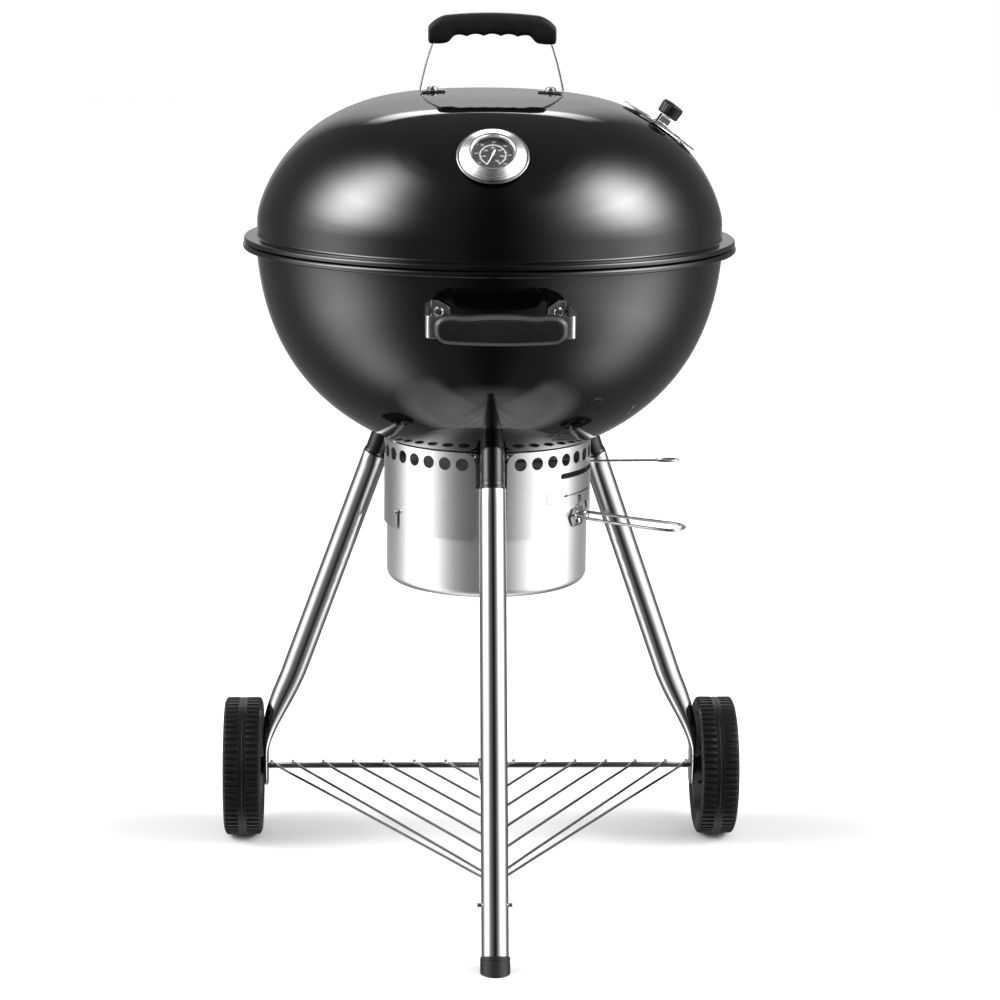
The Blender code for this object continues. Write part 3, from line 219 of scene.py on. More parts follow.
def turned(points, seg=96, matrix=None, phase=0.0, closed=True):
    """Lathe of (r, z) points; the outline is closed unless its ends lie on the axis."""
    bm = bmesh.new()
    rings = []
    for r, z in points:
        if abs(r) < 1e-7:
            rings.append([bm.verts.new((0, 0, z))])
        else:
            rings.append([bm.verts.new((r * math.cos(phase + 2 * math.pi * k / seg),
                                        r * math.sin(phase + 2 * math.pi * k / seg), z)) for k in range(seg)])
    pairs = list(zip(rings[:-1], rings[1:]))
    if closed and not (len(rings[0]) == 1 and len(rings[-1]) == 1):
        pairs.append((rings[-1], rings[0]))
    for a, b in pairs:
        if len(a) == 1 and len(b) == 1:
            continue
        for k in range(seg):
            j = (k + 1) % seg
            if len(a) == 1:
                bm.faces.new((a[0], b[j], b[k]))
            elif len(b) == 1:
                bm.faces.new((a[k], a[j], b[0]))
            else:
                bm.faces.new((a[k], a[j], b[j], b[k]))
    if matrix is not None:
        bmesh.ops.transform(bm, matrix=matrix, verts=bm.verts)
    return bm


def sector(points, a0, a1, steps, matrix=None):
    """Part of a lathe, from angle a0 to a1 in degrees, with flat ends."""
    bm = bmesh.new()
    rows = []
    for k in range(steps + 1):
        a = math.radians(a0 + (a1 - a0) * k / steps)
        rows.append([bm.verts.new((r * math.cos(a), r * math.sin(a), z)) for r, z in points])
    n = len(points)
    for a, b in zip(rows[:-1], rows[1:]):
        for i in range(n):
            j = (i + 1) % n
            bm.faces.new((a[i], a[j], b[j], b[i]))
    bm.faces.new(rows[0])
    bm.faces.new(rows[-1][::-1])
    if matrix is not None:
        bmesh.ops.transform(bm, matrix=matrix, verts=bm.verts)
    return bm


def rod(a, b, radius, seg=24, radius2=None):
    a, b = Vector(a), Vector(b)
    L = (b - a).length
    r2 = radius if radius2 is None else radius2
    return turned([(0, 0), (radius, 0), (r2, L), (0, L)], seg, place(a, b - a))


def soft_rod(a, b, radius, seg=24, edge=0.0006):
    """A rod with rounded ends."""
    a, b = Vector(a), Vector(b)
    L = (b - a).length
    pts = [(0, 0), (radius - edge, 0)] + arc(radius - edge, edge, edge, -90, 0, 4)[1:]
    pts += arc(radius - edge, L - edge, edge, 0, 90, 4) + [(0, L)]
    return turned(pts, seg, place(a, b - a))


def arc(cx, cy, r, a0, a1, n):
    return [(cx + r * math.cos(math.radians(a0 + (a1 - a0) * k / n)),
             cy + r * math.sin(math.radians(a0 + (a1 - a0) * k / n))) for k in range(n + 1)]


def prism(outline, h0, h1, matrix=None):
    bm = bmesh.new()
    lo = [bm.verts.new((x, y, h0)) for x, y in outline]
    hi = [bm.verts.new((x, y, h1)) for x, y in outline]
    n = len(outline)
    for i in range(n):
        j = (i + 1) % n
        bm.faces.new((lo[i], lo[j], hi[j], hi[i]))
    bm.faces.new(lo[::-1])
    bm.faces.new(hi)
    if matrix is not None:
        bmesh.ops.transform(bm, matrix=matrix, verts=bm.verts)
    return bm


def smooth_path(pts, n=8, closed=False):
    """Centripetal Catmull-Rom through the points."""
    pts = [Vector(p) for p in pts]
    out = []
    m = len(pts)
    spans = m if closed else m - 1
    for i in range(spans):
        p1, p2 = pts[i], pts[(i + 1) % m]
        p0 = pts[(i - 1) % m] if (closed or i > 0) else p1 * 2 - p2
        p3 = pts[(i + 2) % m] if (closed or i + 2 < m) else p2 * 2 - p1
        t0 = 0.0
        t1 = t0 + max((p1 - p0).length, 1e-9) ** 0.5
        t2 = t1 + max((p2 - p1).length, 1e-9) ** 0.5
        t3 = t2 + max((p3 - p2).length, 1e-9) ** 0.5
        for k in range(n):
            t = t1 + (t2 - t1) * k / n
            a1 = p0 * ((t1 - t) / (t1 - t0)) + p1 * ((t - t0) / (t1 - t0))
            a2 = p1 * ((t2 - t) / (t2 - t1)) + p2 * ((t - t1) / (t2 - t1))
            a3 = p2 * ((t3 - t) / (t3 - t2)) + p3 * ((t - t2) / (t3 - t2))
            b1 = a1 * ((t2 - t) / (t2 - t0)) + a2 * ((t - t0) / (t2 - t0))
            b2 = a2 * ((t3 - t) / (t3 - t1)) + a3 * ((t - t1) / (t3 - t1))
            out.append(b1 * ((t2 - t) / (t2 - t1)) + b2 * ((t - t1) / (t2 - t1)))
    if not closed:
        out.append(pts[-1])
    return out


def tube(points, radius, seg=16, closed=False, flat=1.0):
    """Round wire along points, with domed ends; flat < 1 presses it across its first normal."""
    pts = [Vector(p) for p in points]
    n = len(pts)
    tang = []
    for i in range(n):
        if closed:
            t = pts[(i + 1) % n] - pts[(i - 1) % n]
        else:
            t = pts[min(i + 1, n - 1)] - pts[max(i - 1, 0)]
        tang.append(t.normalized())
    ref = Vector((0, 0, 1)) if abs(tang[0].z) < 0.9 else Vector((1, 0, 0))
    u = (ref - tang[0] * ref.dot(tang[0])).normalized()
    bm = bmesh.new()
    rings = []

    def ring(c, u, t, r):
        v = t.cross(u)
        return [bm.verts.new(c + u * (r * flat * math.cos(2 * math.pi * k / seg)) + v * (r * math.sin(2 * math.pi * k / seg)))
                for k in range(seg)]
    frames = []
    for i in range(n):
        t = tang[i]
        u = (u - t * u.dot(t)).normalized()
        frames.append(u.copy())
    if not closed:
        t = tang[0]
        for k in (70, 40):
            a = math.radians(k)
            rings.append(ring(pts[0] + t * (radius * 0.55 * (1 - math.sin(a))), frames[0], t, radius * math.cos(a)))
    for i in range(n):
        c = pts[i]
        if not closed and i == 0:
            c = pts[0] + tang[0] * radius * 0.55
        if not closed and i == n - 1:
            c = pts[-1] - tang[-1] * radius * 0.55
        rings.append(ring(c, frames[i], tang[i], radius))
    if not closed:
        t = tang[-1]
        for k in (40, 70):
            a = math.radians(k)
            rings.append(ring(pts[-1] - t * (radius * 0.55 * (1 - math.sin(a))), frames[-1], t, radius * math.cos(a)))
    pairs = list(zip(rings[:-1], rings[1:]))
    if closed:
        # the last ring meets the first with the least twist
        best, shift = 1e9, 0
        for s in range(seg):
            d = sum((rings[-1][(k + s) % seg].co - rings[0][k].co).length for k in range(0, seg, 3))
            if d < best:
                best, shift = d, s
        last = [rings[-1][(k + shift) % seg] for k in range(seg)]
        pairs.append((last, rings[0]))
    for a, b in pairs:
        for k in range(seg):
            j = (k + 1) % seg
            bm.faces.new((a[k], a[j], b[j], b[k]))
    if not closed:
        bm.faces.new(rings[0][::-1])
        bm.faces.new(rings[-1])
    return bm


def strap(path, t, w0, w1, matrix=None, n=8, smooth=True):
    """A bent strip: path is 2-D, thickness t, from height w0 to w1."""
    pts = smooth_path([Vector((p[0], p[1], 0)) for p in path], n) if smooth else [Vector((p[0], p[1], 0)) for p in path]
    left, right = [], []
    for i, p in enumerate(pts):
        a = pts[max(i - 1, 0)]
        b = pts[min(i + 1, len(pts) - 1)]
        d = (b - a).normalized()
        nn = Vector((-d.y, d.x, 0))
        left.append(p + nn * (t / 2))
        right.append(p - nn * (t / 2))
    bm = bmesh.new()
    rows = []
    for l, r in zip(left, right):
        rows.append([bm.verts.new((l.x, l.y, w0)), bm.verts.new((r.x, r.y, w0)),
                     bm.verts.new((r.x, r.y, w1)), bm.verts.new((l.x, l.y, w1))])
    for a, b in zip(rows[:-1], rows[1:]):
        for i in range(4):
            j = (i + 1) % 4
            bm.faces.new((a[i], a[j], b[j], b[i]))
    bm.faces.new(rows[0])
    bm.faces.new(rows[-1][::-1])
    if matrix is not None:
        bmesh.ops.transform(bm, matrix=matrix, verts=bm.verts)
    return bm


def loft(sections):
    bm = bmesh.new()
    rings = [[bm.verts.new(p) for p in s] for s in sections]
    n = len(rings[0])
    for a, b in zip(rings[:-1], rings[1:]):
        for k in range(n):
            j = (k + 1) % n
            bm.faces.new((a[k], a[j], b[j], b[k]))
    bm.faces.new(rings[0][::-1])
    bm.faces.new(rings[-1])
    return bm


def offset(pts, d):
    out = []
    for i, (r, z) in enumerate(pts):
        a = pts[max(i - 1, 0)]
        b = pts[min(i + 1, len(pts) - 1)]
        t = Vector((b[0] - a[0], b[1] - a[1])).normalized()
        out.append((max(0.0, r + t.y * d), z - t.x * d))
    return out


def fillet(pts, radii, n=5):
    """Rounds the corners of an open polyline of (x, y) points."""
    out = []
    for i, p in enumerate(pts):
        r = radii[i] if isinstance(radii, (list, tuple)) else radii
        if i == 0 or i == len(pts) - 1 or r <= 0:
            out.append(tuple(p))
            continue
        p, a, b = Vector(p), Vector(pts[i - 1]), Vector(pts[i + 1])
        da, db = (a - p), (b - p)
        half = da.angle(db) / 2
        if half > math.radians(88):
            out.append(tuple(p))
            continue
        d = min(r / math.tan(half), da.length * 0.49, db.length * 0.49)
        q0, q1 = p + da.normalized() * d, p + db.normalized() * d
        for k in range(n + 1):
            t = k / n
            c = q0 * (1 - t) ** 2 + p * (2 * t * (1 - t)) + q1 * t ** 2
            out.append((c.x, c.y))
    return out


# -------------------------------------------------------------------- materials
class Mat:
    """Small builder round a Principled material."""

    def __init__(self, name, color, rough, metal=0.0, **sockets):
        self.m = bpy.data.materials.new(name)
        self.m.use_nodes = True
        self.t = self.m.node_tree
        self.p = self.t.nodes["Principled BSDF"]
        self.p.inputs["Base Color"].default_value = (*color, 1.0)
        self.p.inputs["Roughness"].default_value = rough
        self.p.inputs["Metallic"].default_value = metal
        for k, v in sockets.items():
            self.p.inputs[k.replace("_", " ")].default_value = v
        self.color, self.rough = color, rough
        self.co = self.t.nodes.new("ShaderNodeTexCoord").outputs["Object"]
        self.height = None

    def node(self, kind, **values):
        n = self.t.nodes.new(kind)
        for k, v in values.items():
            setattr(n, k, v)
        return n

    def link(self, a, b):
        self.t.links.new(a, b)

    def scaled(self, s, co=None, loc=(0, 0, 0)):
        n = self.node("ShaderNodeMapping")
        n.inputs["Scale"].default_value = s
        n.inputs["Location"].default_value = loc
        self.link(co or self.co, n.inputs["Vector"])
        return n.outputs["Vector"]

    def noise(self, scale, detail=3.0, rough=0.5, co=None, distortion=0.0):
        n = self.node("ShaderNodeTexNoise")
        n.inputs["Scale"].default_value = scale
        n.inputs["Detail"].default_value = detail
        n.inputs["Roughness"].default_value = rough
        n.inputs["Distortion"].default_value = distortion
        self.link(co or self.co, n.inputs["Vector"])
        return n.outputs["Fac"]

    def remap(self, v, a, b, lo=0.0, hi=1.0, smooth=False):
        n = self.node("ShaderNodeMapRange")
        n.inputs["From Min"].default_value = lo
        n.inputs["From Max"].default_value = hi
        n.inputs["To Min"].default_value = a
        n.inputs["To Max"].default_value = b
        if smooth:
            n.interpolation_type = "SMOOTHSTEP"
        self.link(v, n.inputs["Value"])
        return n.outputs["Result"]

    def math(self, op, a, b=None, clamp=False):
        n = self.node("ShaderNodeMath", operation=op, use_clamp=clamp)
        for i, v in enumerate((a, b)):
            if v is None:
                continue
            if isinstance(v, (int, float)):
                n.inputs[i].default_value = v
            else:
                self.link(v, n.inputs[i])
        return n.outputs[0]

    def mix_color(self, fac, a, b):
        n = self.node("ShaderNodeMix", data_type="RGBA")
        if isinstance(fac, (int, float)):
            n.inputs[0].default_value = fac
        else:
            self.link(fac, n.inputs[0])
        for i, v in ((6, a), (7, b)):
            if isinstance(v, tuple):
                n.inputs[i].default_value = (*v, 1.0)
            else:
                self.link(v, n.inputs[i])
        return n.outputs[2]

    def set(self, socket, v):
        self.link(v, self.p.inputs[socket])

    def bump(self, height, strength, distance=0.001):
        n = self.node("ShaderNodeBump")
        n.inputs["Strength"].default_value = strength
        n.inputs["Distance"].default_value = distance
        self.link(height, n.inputs["Height"])
        if self.height is not None:
            self.link(self.height, n.inputs["Normal"])
        self.height = n.outputs["Normal"]
        self.link(self.height, self.p.inputs["Normal"])

    def cylinder(self, k_round, k_up, k_rad=0.0, centre=(0.0, None)):
        """Coordinates that run round the kettle axis, for brush marks along a band."""
        s = self.node("ShaderNodeSeparateXYZ")
        self.link(self.co, s.inputs[0])
        y = self.math("SUBTRACT", s.outputs[1], KY)
        ang = self.math("ARCTAN2", y, s.outputs[0])
        c = self.node("ShaderNodeCombineXYZ")
        self.link(self.math("MULTIPLY", ang, k_round), c.inputs[0])
        self.link(self.math("MULTIPLY", s.outputs[2], k_up), c.inputs[1])
        if k_rad:
            rr = self.math("SQRT", self.math("ADD", self.math("MULTIPLY", y, y),
                                             self.math("MULTIPLY", s.outputs[0], s.outputs[0])))
            self.link(self.math("MULTIPLY", rr, k_rad), c.inputs[2])
        return c.outputs[0]


def enamel(name, rough=0.05, color=(0.0011, 0.0011, 0.0012), wave=0.015):
    m = Mat(name, color, rough, IOR=1.5)
    cloud = m.noise(7.0, 4.0, 0.6)
    m.set("Base Color", m.mix_color(m.remap(cloud, 0.0, 1.0, 0.35, 0.65), color, tuple(c * 1.5 for c in color)))
    fine = m.noise(900.0, 2.0, 0.5)
    dust = m.remap(m.noise(38.0, 5.0, 0.7), 0.0, 0.035, 0.52, 0.75)
    m.set("Roughness", m.math("ADD", m.remap(fine, rough - 0.008, rough + 0.016), dust))
    m.bump(m.noise(85.0, 1.5, 0.4), wave, 0.0006)          # the faint orange peel of fired enamel
    m.bump(fine, wave * 0.6, 0.00008)
    return m.m


def chrome(name, color=(0.78, 0.78, 0.79), rough=0.07, grain=(40, 40, 900), wear=0.05):
    m = Mat(name, color, rough, 1.0)
    g = m.noise(1.0, 3.0, 0.6, m.scaled(grain))
    cloud = m.noise(9.0, 4.0, 0.6)
    m.set("Base Color", m.mix_color(m.remap(cloud, 0.0, 1.0, 0.3, 0.7), tuple(c * 0.93 for c in color), color))
    m.set("Roughness", m.math("ADD", m.remap(g, rough * 0.6, rough * 1.5), m.remap(cloud, 0.0, wear, 0.5, 0.8)))
    m.bump(g, 0.05, 0.0002)
    return m.m


def brushed_band(name, color=(0.66, 0.66, 0.655), rough=0.27, along=12.0, across=3800.0, aniso=0.5, shade=0.10):
    """Sheet metal rolled into a band, brushed round it."""
    m = Mat(name, color, rough, 1.0, Anisotropic=aniso)
    co = m.cylinder(along, across, 90.0)
    g = m.noise(1.0, 4.0, 0.65, co)
    g2 = m.noise(1.0, 2.0, 0.5, m.cylinder(along * 0.25, across * 0.12, 20.0))
    cloud = m.noise(16.0, 4.0, 0.6)
    tone = m.math("ADD", m.math("MULTIPLY", g, 0.6), m.math("MULTIPLY", g2, 0.4))
    m.set("Base Color", m.mix_color(m.remap(tone, 0.0, 1.0, 0.3, 0.7), tuple(c * (1 - shade) for c in color), color))
    m.set("Roughness", m.math("ADD", m.remap(g, rough - 0.07, rough + 0.09), m.remap(cloud, -0.02, 0.04)))
    m.bump(g, 0.12, 0.00012)
    tan = m.node("ShaderNodeTangent", direction_type="RADIAL", axis="Z")
    m.link(tan.outputs[0], m.p.inputs["Tangent"])
    return m.m


def satin(name, color=(0.74, 0.74, 0.74), rough=0.36):
    m = Mat(name, color, rough, 1.0)
    g = m.noise(1.0, 5.0, 0.7, m.cylinder(26.0, 900.0, 200.0))
    grain = m.noise(2200.0, 2.0, 0.6)
    cloud = m.noise(11.0, 4.0, 0.6)
    m.set("Base Color", m.mix_color(m.remap(g, 0.0, 1.0, 0.3, 0.7), tuple(c * 0.93 for c in color), color))
    m.set("Roughness", m.math("ADD", m.remap(grain, rough - 0.05, rough + 0.05), m.remap(cloud, -0.03, 0.05)))
    m.bump(grain, 0.10, 0.0001)
    m.bump(g, 0.06, 0.0001)
    return m.m


def zinc(name, color=(0.70, 0.70, 0.69), rough=0.22, scale=160.0):
    """Bright plated steel with faint spangle and handling marks."""
    m = Mat(name, color, rough, 1.0)
    v = m.node("ShaderNodeTexVoronoi")
    v.inputs["Scale"].default_value = scale
    m.link(m.co, v.inputs["Vector"])
    sp = m.remap(v.outputs["Distance"], 0.0, 1.0, 0.0, 0.8)
    n = m.noise(60.0, 5.0, 0.65)
    m.set("Base Color", m.mix_color(m.math("MULTIPLY", sp, n), color, tuple(c * 0.80 for c in color)))
    m.set("Roughness", m.remap(n, rough - 0.06, rough + 0.12, 0.3, 0.7))
    m.bump(m.noise(1500.0, 3.0, 0.6), 0.07, 0.0001)
    return m.m


def plastic(name, color=(0.012, 0.012, 0.0125), rough=0.5, grain=1500.0, depth=0.25, spec=0.5):
    """Moulded plastic with a fine spark-eroded texture and rubbed edges."""
    m = Mat(name, color, rough, 0.0)
    m.p.inputs["Specular IOR Level"].default_value = spec
    g = m.noise(grain, 3.0, 0.55)
    cloud = m.noise(22.0, 5.0, 0.6)
    geo = m.node("ShaderNodeNewGeometry")
    edge = m.remap(geo.outputs["Pointiness"], 0.0, 1.0, 0.515, 0.58)
    base = m.mix_color(m.remap(cloud, 0.0, 1.0, 0.35, 0.65), color, tuple(c * 1.5 for c in color))
    m.set("Base Color", m.mix_color(m.math("MULTIPLY", edge, 0.6), base, tuple(c * 2.6 for c in color)))
    m.set("Roughness", m.math("ADD", m.remap(g, rough - 0.06, rough + 0.10), m.remap(cloud, -0.04, 0.06)))
    m.bump(g, depth, 0.00012)
    m.bump(cloud, 0.04, 0.0006)
    return m.m


M = {
    "enamel": enamel("black_enamel"),
    "enamel_socket": enamel("socket_enamel", 0.09, (0.002, 0.002, 0.0021), 0.03),
    "enamel_in": enamel("enamel_inside", 0.16, (0.006, 0.006, 0.0065), 0.04),
    "chrome_leg": chrome("leg_chrome", (0.50, 0.50, 0.51), 0.075, (60, 60, 6)),
    "chrome_wire": chrome("wire_chrome", (0.30, 0.30, 0.31), 0.13, (300, 300, 300)),
    "brushed": brushed_band("brushed_band"),
    "satin": satin("satin_can"),
    "zinc": zinc("bright_zinc", (0.42, 0.42, 0.42)),
    "zinc_strap": zinc("strap_zinc", (0.50, 0.50, 0.49), 0.26, 240.0),
    "grip": plastic("grip_plastic", (0.0045, 0.0045, 0.0047), 0.46, 1300.0, 0.22, 0.18),
    # a lighter, glossier copy of the grip plastic: painted highlight for the bowl handle grip's front bevel
    "bevel_painted_highlight": plastic("bevel_painted_highlight_plastic", (0.017, 0.017, 0.018), 0.42, 1300.0, 0.18, 0.45),
    "wheel": plastic("wheel_plastic", (0.0032, 0.0032, 0.0032), 0.38, 900.0, 0.30, 0.22),
    "knob": plastic("knob_plastic", (0.003, 0.003, 0.0031), 0.34, 1700.0, 0.15, 0.25),
    "foot": plastic("foot_plastic", (0.004, 0.004, 0.004), 0.48, 1100.0, 0.25, 0.25),
}

# ------------------------------------------------------------ light and camera
# azimuth 0 is in front of the grill and + is to the right; elevations in degrees
SOFTBOXES = [
    ((-83.0, 15.5), [(-66, 0), (-58, 1.5), (-50, 2.3), (-35, 2.9), (-24, 4.0), (-12, 3.0), (-5, 2.4), (5, 2.8), (15, 5.4), (25, 14.0), (35, 19.0), (45, 13.5),
                     (55, 6.5), (62, 1.0), (68, 0)], 20.0),
    ((79.0, 15.5), [(-64, 0), (-56, 0.5), (-45, 2.0), (-35, 2.8), (-25, 4.3), (-12, 3.0), (-5, 2.6), (5, 3.0), (15, 5.6), (25, 13.7), (35, 20.8), (45, 13.4),
                    (55, 3.4), (61, 0.6), (66, 0)], 21.0),
    ((48.0, 13.0), [(-40, 0), (-20, 0.9), (10, 0.9), (45, 1.0), (56, 0)], 1.0),
]
PANELS = [
    ((180.0, 9.0, 14.0), [(-30, 0.0), (0, 0.25), (20, 0.75), (33.5, 1.4), (35.2, 6.6), (39.6, 6.6), (40.8, 0.0)], 7.0),     # back card
    ((180.0, 150.0, 30.0), [(-66, 0.15), (-50, 0.17), (55, 0.17), (90, 0.10)], 1.0),
    ((0.0, 181.0, 1.0), [(-90, 1.0), (-80, 1.0), (-70, 0.05), (40, 0.01), (70, 0.08)], 1.0),
    ((180.0, 118.0, 18.0), [(-90, 0.15), (-67, 1.15), (-60, 0.0)], 1.2),
]
LAMPS = [
    ("top_fill", (0.0, -0.5, 3.4), (0, 0, 0.4), 3.0, 3.0, 30.0, False),
    ("front_fill", (0.3, -3.6, 2.4), (0, 0, 0.6), 2.5, 1.6, 14.0, False),
]
CAM_D, CAM_PSI, CAM_H, CAM_F, CAM_PITCH, CAM_ROLL, CAM_XOFF = 3.6257, -0.0448, 1.2304, 2962.04, 0.2036, 0.0109, 0.0163
CAM_SHIFT = (0.0, 0.0)

# ------------------------------------------------------------------------- lid
n_lid = 46
lid_curve = []
for k in range(n_lid + 1):                     # even steps along the shoulder, then over the crown
    t = math.sin(math.pi / 2 * k / n_lid)
    z = LID_Z0 + LID_RISE * t
    r = lid_r(z)
    if r > LID_R * 0.62:
        lid_curve.append((r, z))
r_last = lid_curve[-1][0]
lid_curve += [(r_last * (1 - k / 26.0), lid_z(r_last * (1 - k / 26.0))) for k in range(1, 27)]
lid_wall = [(LID_R, RIM_Z + 0.0140 + (LID_Z0 - RIM_Z - 0.0140) * k / 5.0) for k in range(5)]
lip = fillet([(LID_R, RIM_Z + 0.0140), (LID_R, RIM_Z + 0.0082), (LID_LIP_R - 0.0010, RIM_Z + 0.0070),
              (LID_LIP_R + 0.0001, RIM_Z + 0.0014), (LID_LIP_R - 0.0034, RIM_Z + 0.0004),
              (LID_LIP_R - 0.0052, RIM_Z + 0.0010), (LID_LIP_R - 0.0050, RIM_Z + 0.0050)],
             [0, 0.0062, 0.0030, 0.0030, 0.0018, 0.0012, 0], 7)
inner = offset([(r, z) for r, z in lid_curve], -WALL)
inner[-1] = (0.0, LID_Z0 + LID_RISE - WALL)
under = fillet([(LID_LIP_R - 0.0050, RIM_Z + 0.0050), (LID_R + 0.0030, RIM_Z + 0.0062), (LID_R - WALL, RIM_Z + 0.0090),
                (LID_R - WALL, LID_Z0 - 0.004)], [0, 0.001, 0.004, 0], 4)
profile = list(reversed(inner)) + list(reversed(under)) + list(reversed(lip)) + lid_wall[1:] + lid_curve
lid = piece("lid", turned(profile, 192), M["enamel"], "lid", "lid_shell", slot="enamel", sharp=60)
dn = lid_normal(DAMPER_ON_LID_R)
DM_AXIS = Vector((dn.x, 0, dn.y))
DM_POS = Vector((DAMPER_ON_LID_R, 0, lid_z(DAMPER_ON_LID_R)))
DM = place(DM_POS, DM_AXIS, (0, 1, 0))
vents = []
for k in range(4):
    a = math.radians(90 * k)
    p = DM @ Vector((0.031 * math.cos(a), 0.031 * math.sin(a), 0))
    vents.append(rod(p - DM_AXIS * 0.02, p + DM_AXIS * 0.02, 0.0100, 32))
cut(lid, join(*vents))
bake(lid, 60)

# -------------------------------------------------------------- lid's handle
strap_t, strap_w = 0.0018, 0.0180
lh_foot_z = lid_z(LH_FOOT_X) + GAP + 0.0010
zin = lid_z(0.0560) + GAP + 0.0010
half = [(-0.0560, zin), (-0.0650, lid_z(0.065) + GAP + 0.0010), (-0.0780, lid_z(0.078) + GAP + 0.0010),
        (-0.0843, lh_foot_z + 0.0003), (-0.0862, lh_foot_z + 0.0030), (-0.0853, lh_foot_z + 0.0090)]
x0, z0 = half[-1]
x1, z1 = -0.0690, LH_BAR_Z - 0.0080
for k in range(1, 6):                          # the legs bow out a little
    t = k / 5.0
    half.append((x0 + (x1 - x0) * t - 0.0012 * math.sin(math.pi * t), z0 + (z1 - z0) * t))
half += [(-0.0655, LH_BAR_Z - 0.0012), (-0.0600, LH_BAR_Z)]
path = half + [(-x, z) for x, z in reversed(half)]
LH_AT = Vector((0, LH_Y, 0))
sp = strap(path, strap_t, -strap_w / 2, strap_w / 2, Matrix.Translation(LH_AT) @ XZ, 5)
lid_strap = piece("lid_handle_strap_bent", sp, M["zinc_strap"], "lid", "lid_handle_strap", slot="zinc", sharp=40,
                  bevel=(0.00035, 2))


def lh_top(x):
    u = min(1.0, abs(x) / LH_HALF)
    return LH_TOP - 0.0060 * u ** 2 - 0.0105 * max(0.0, u - 0.70) ** 2 / 0.09


def lh_bottom(x):
    """Underside of the grip: thick ends, and finger scallops between them."""
    ax = abs(x)
    cusp = abs(math.cos(math.pi * x / 0.0205)) ** 0.75           # cusps between four fingers
    fingers = LH_MID_BOTTOM - 0.0012 + 0.0028 * cusp + 0.0018 * max(0.0, 1 - (ax / 0.045) ** 2)
    low = LH_END_BOTTOM + 0.0010 * max(0.0, (0.066 - ax) / 0.010) ** 2
    if ax > LH_HALF - 0.004:
        low += 0.0018 * ((ax - LH_HALF + 0.004) / 0.004) ** 2
    t = min(1.0, max(0.0, (ax - 0.0440) / 0.0110))
    t = t * t * (3 - 2 * t)
    return fingers * (1 - t) + low * t


def grip_section(x, top, bot, half_y, n=28, p=3.2):
    """Rounded section of the grip at x."""
    zc, hz = (top + bot) / 2, (top - bot) / 2
    out = []
    for k in range(n):
        a = 2 * math.pi * k / n
        c, s = math.cos(a), math.sin(a)
        out.append(Vector((x, half_y * math.copysign(abs(c) ** (2 / p), c), zc + hz * math.copysign(abs(s) ** (2 / p), s))))
    return out


xs = [-LH_HALF + 0.0030 * (1 - math.cos(math.radians(90 * k / 5))) for k in range(6)]
xs += [-LH_HALF + 0.0030 + (2 * LH_HALF - 0.0060) * k / 84 for k in range(1, 84)]
xs += [LH_HALF - 0.0030 * (1 - math.cos(math.radians(90 * k / 5))) for k in reversed(range(6))]
secs = []
for x in xs:
    e = max(0.0, (abs(x) - (LH_HALF - 0.0030)) / 0.0030)
    shrink = math.sqrt(max(0.0, 1 - min(1.0, e) ** 2)) if e > 0 else 1.0
    shrink = 0.80 + 0.20 * shrink
    top, bot = lh_top(x), lh_bottom(x)
    mid = (top + bot) / 2
    u = abs(x) / LH_HALF
    hy = LH_DEPTH / 2 * (1 - 0.06 * max(0.0, 1 - (abs(x) / 0.055) ** 2))
    secs.append(grip_section(x, mid + (top - mid) * shrink, mid + (bot - mid) * shrink, hy * shrink, 32,
                             3.4 if u > 0.7 else 3.0))
lid_grip = piece("lid_handle_moulded_grip", moved(loft(secs), Matrix.Translation(LH_AT)), M["grip"], "lid", "lid_handle_grip", slot="grip", sharp=75)

def screw(name, base, axis, r, h, shank, body, node, mat="zinc", seg=48):
    """Pan-head cross-recess screw on a washer face."""
    pts = [(0, h)] + [(r * math.sin(math.radians(a)) ** 0.9, h * (0.35 + 0.65 * math.cos(math.radians(a))))
                      for a in (12, 24, 36, 48, 60, 72, 82, 90)]
    pts += [(r * 1.0, h * 0.12), (r * 0.97, 0.0), (shank[0], 0.0)]
    z = 0.0
    pitch = 0.0008
    while z > -shank[1] + pitch:
        pts += [(shank[0], z - pitch * 0.15), (shank[0] * 0.88, z - pitch * 0.6)]
        z -= pitch
    pts += [(shank[0] * 0.8, -shank[1]), (0, -shank[1])]
    m = place(base, axis)
    ob = piece(name, turned(pts, seg, m), M[mat], body, node, slot="zinc", sharp=40)
    tools = []
    for a in (20, 110):
        c, s = math.cos(math.radians(a)), math.sin(math.radians(a))
        w, l = r * 0.11, r * 0.62
        out = [(c * l - s * w, s * l + c * w), (-c * l - s * w, -s * l + c * w), (-c * l + s * w, -s * l - c * w),
               (c * l + s * w, s * l - c * w)]
        tools.append(prism(out, h * 0.45, h + 0.002, m))
    cut(ob, *tools)
    bake(ob, 40)
    return ob


def hex_nut(name, base, axis, r, h, bore, body, node, mat="zinc"):
    m = place(base, axis)
    ob = piece(name, turned([(bore, 0.0), (r, 0.0), (r, h), (bore, h)], 6, m), M[mat], body, node, slot="zinc", sharp=30)
    c = turned([(r * 0.80, h * 1.2), (r * 1.4, h * 1.2), (r * 1.4, h * 0.55)], 48, m)
    cut(ob, c)
    bake(ob, 30)
    return ob


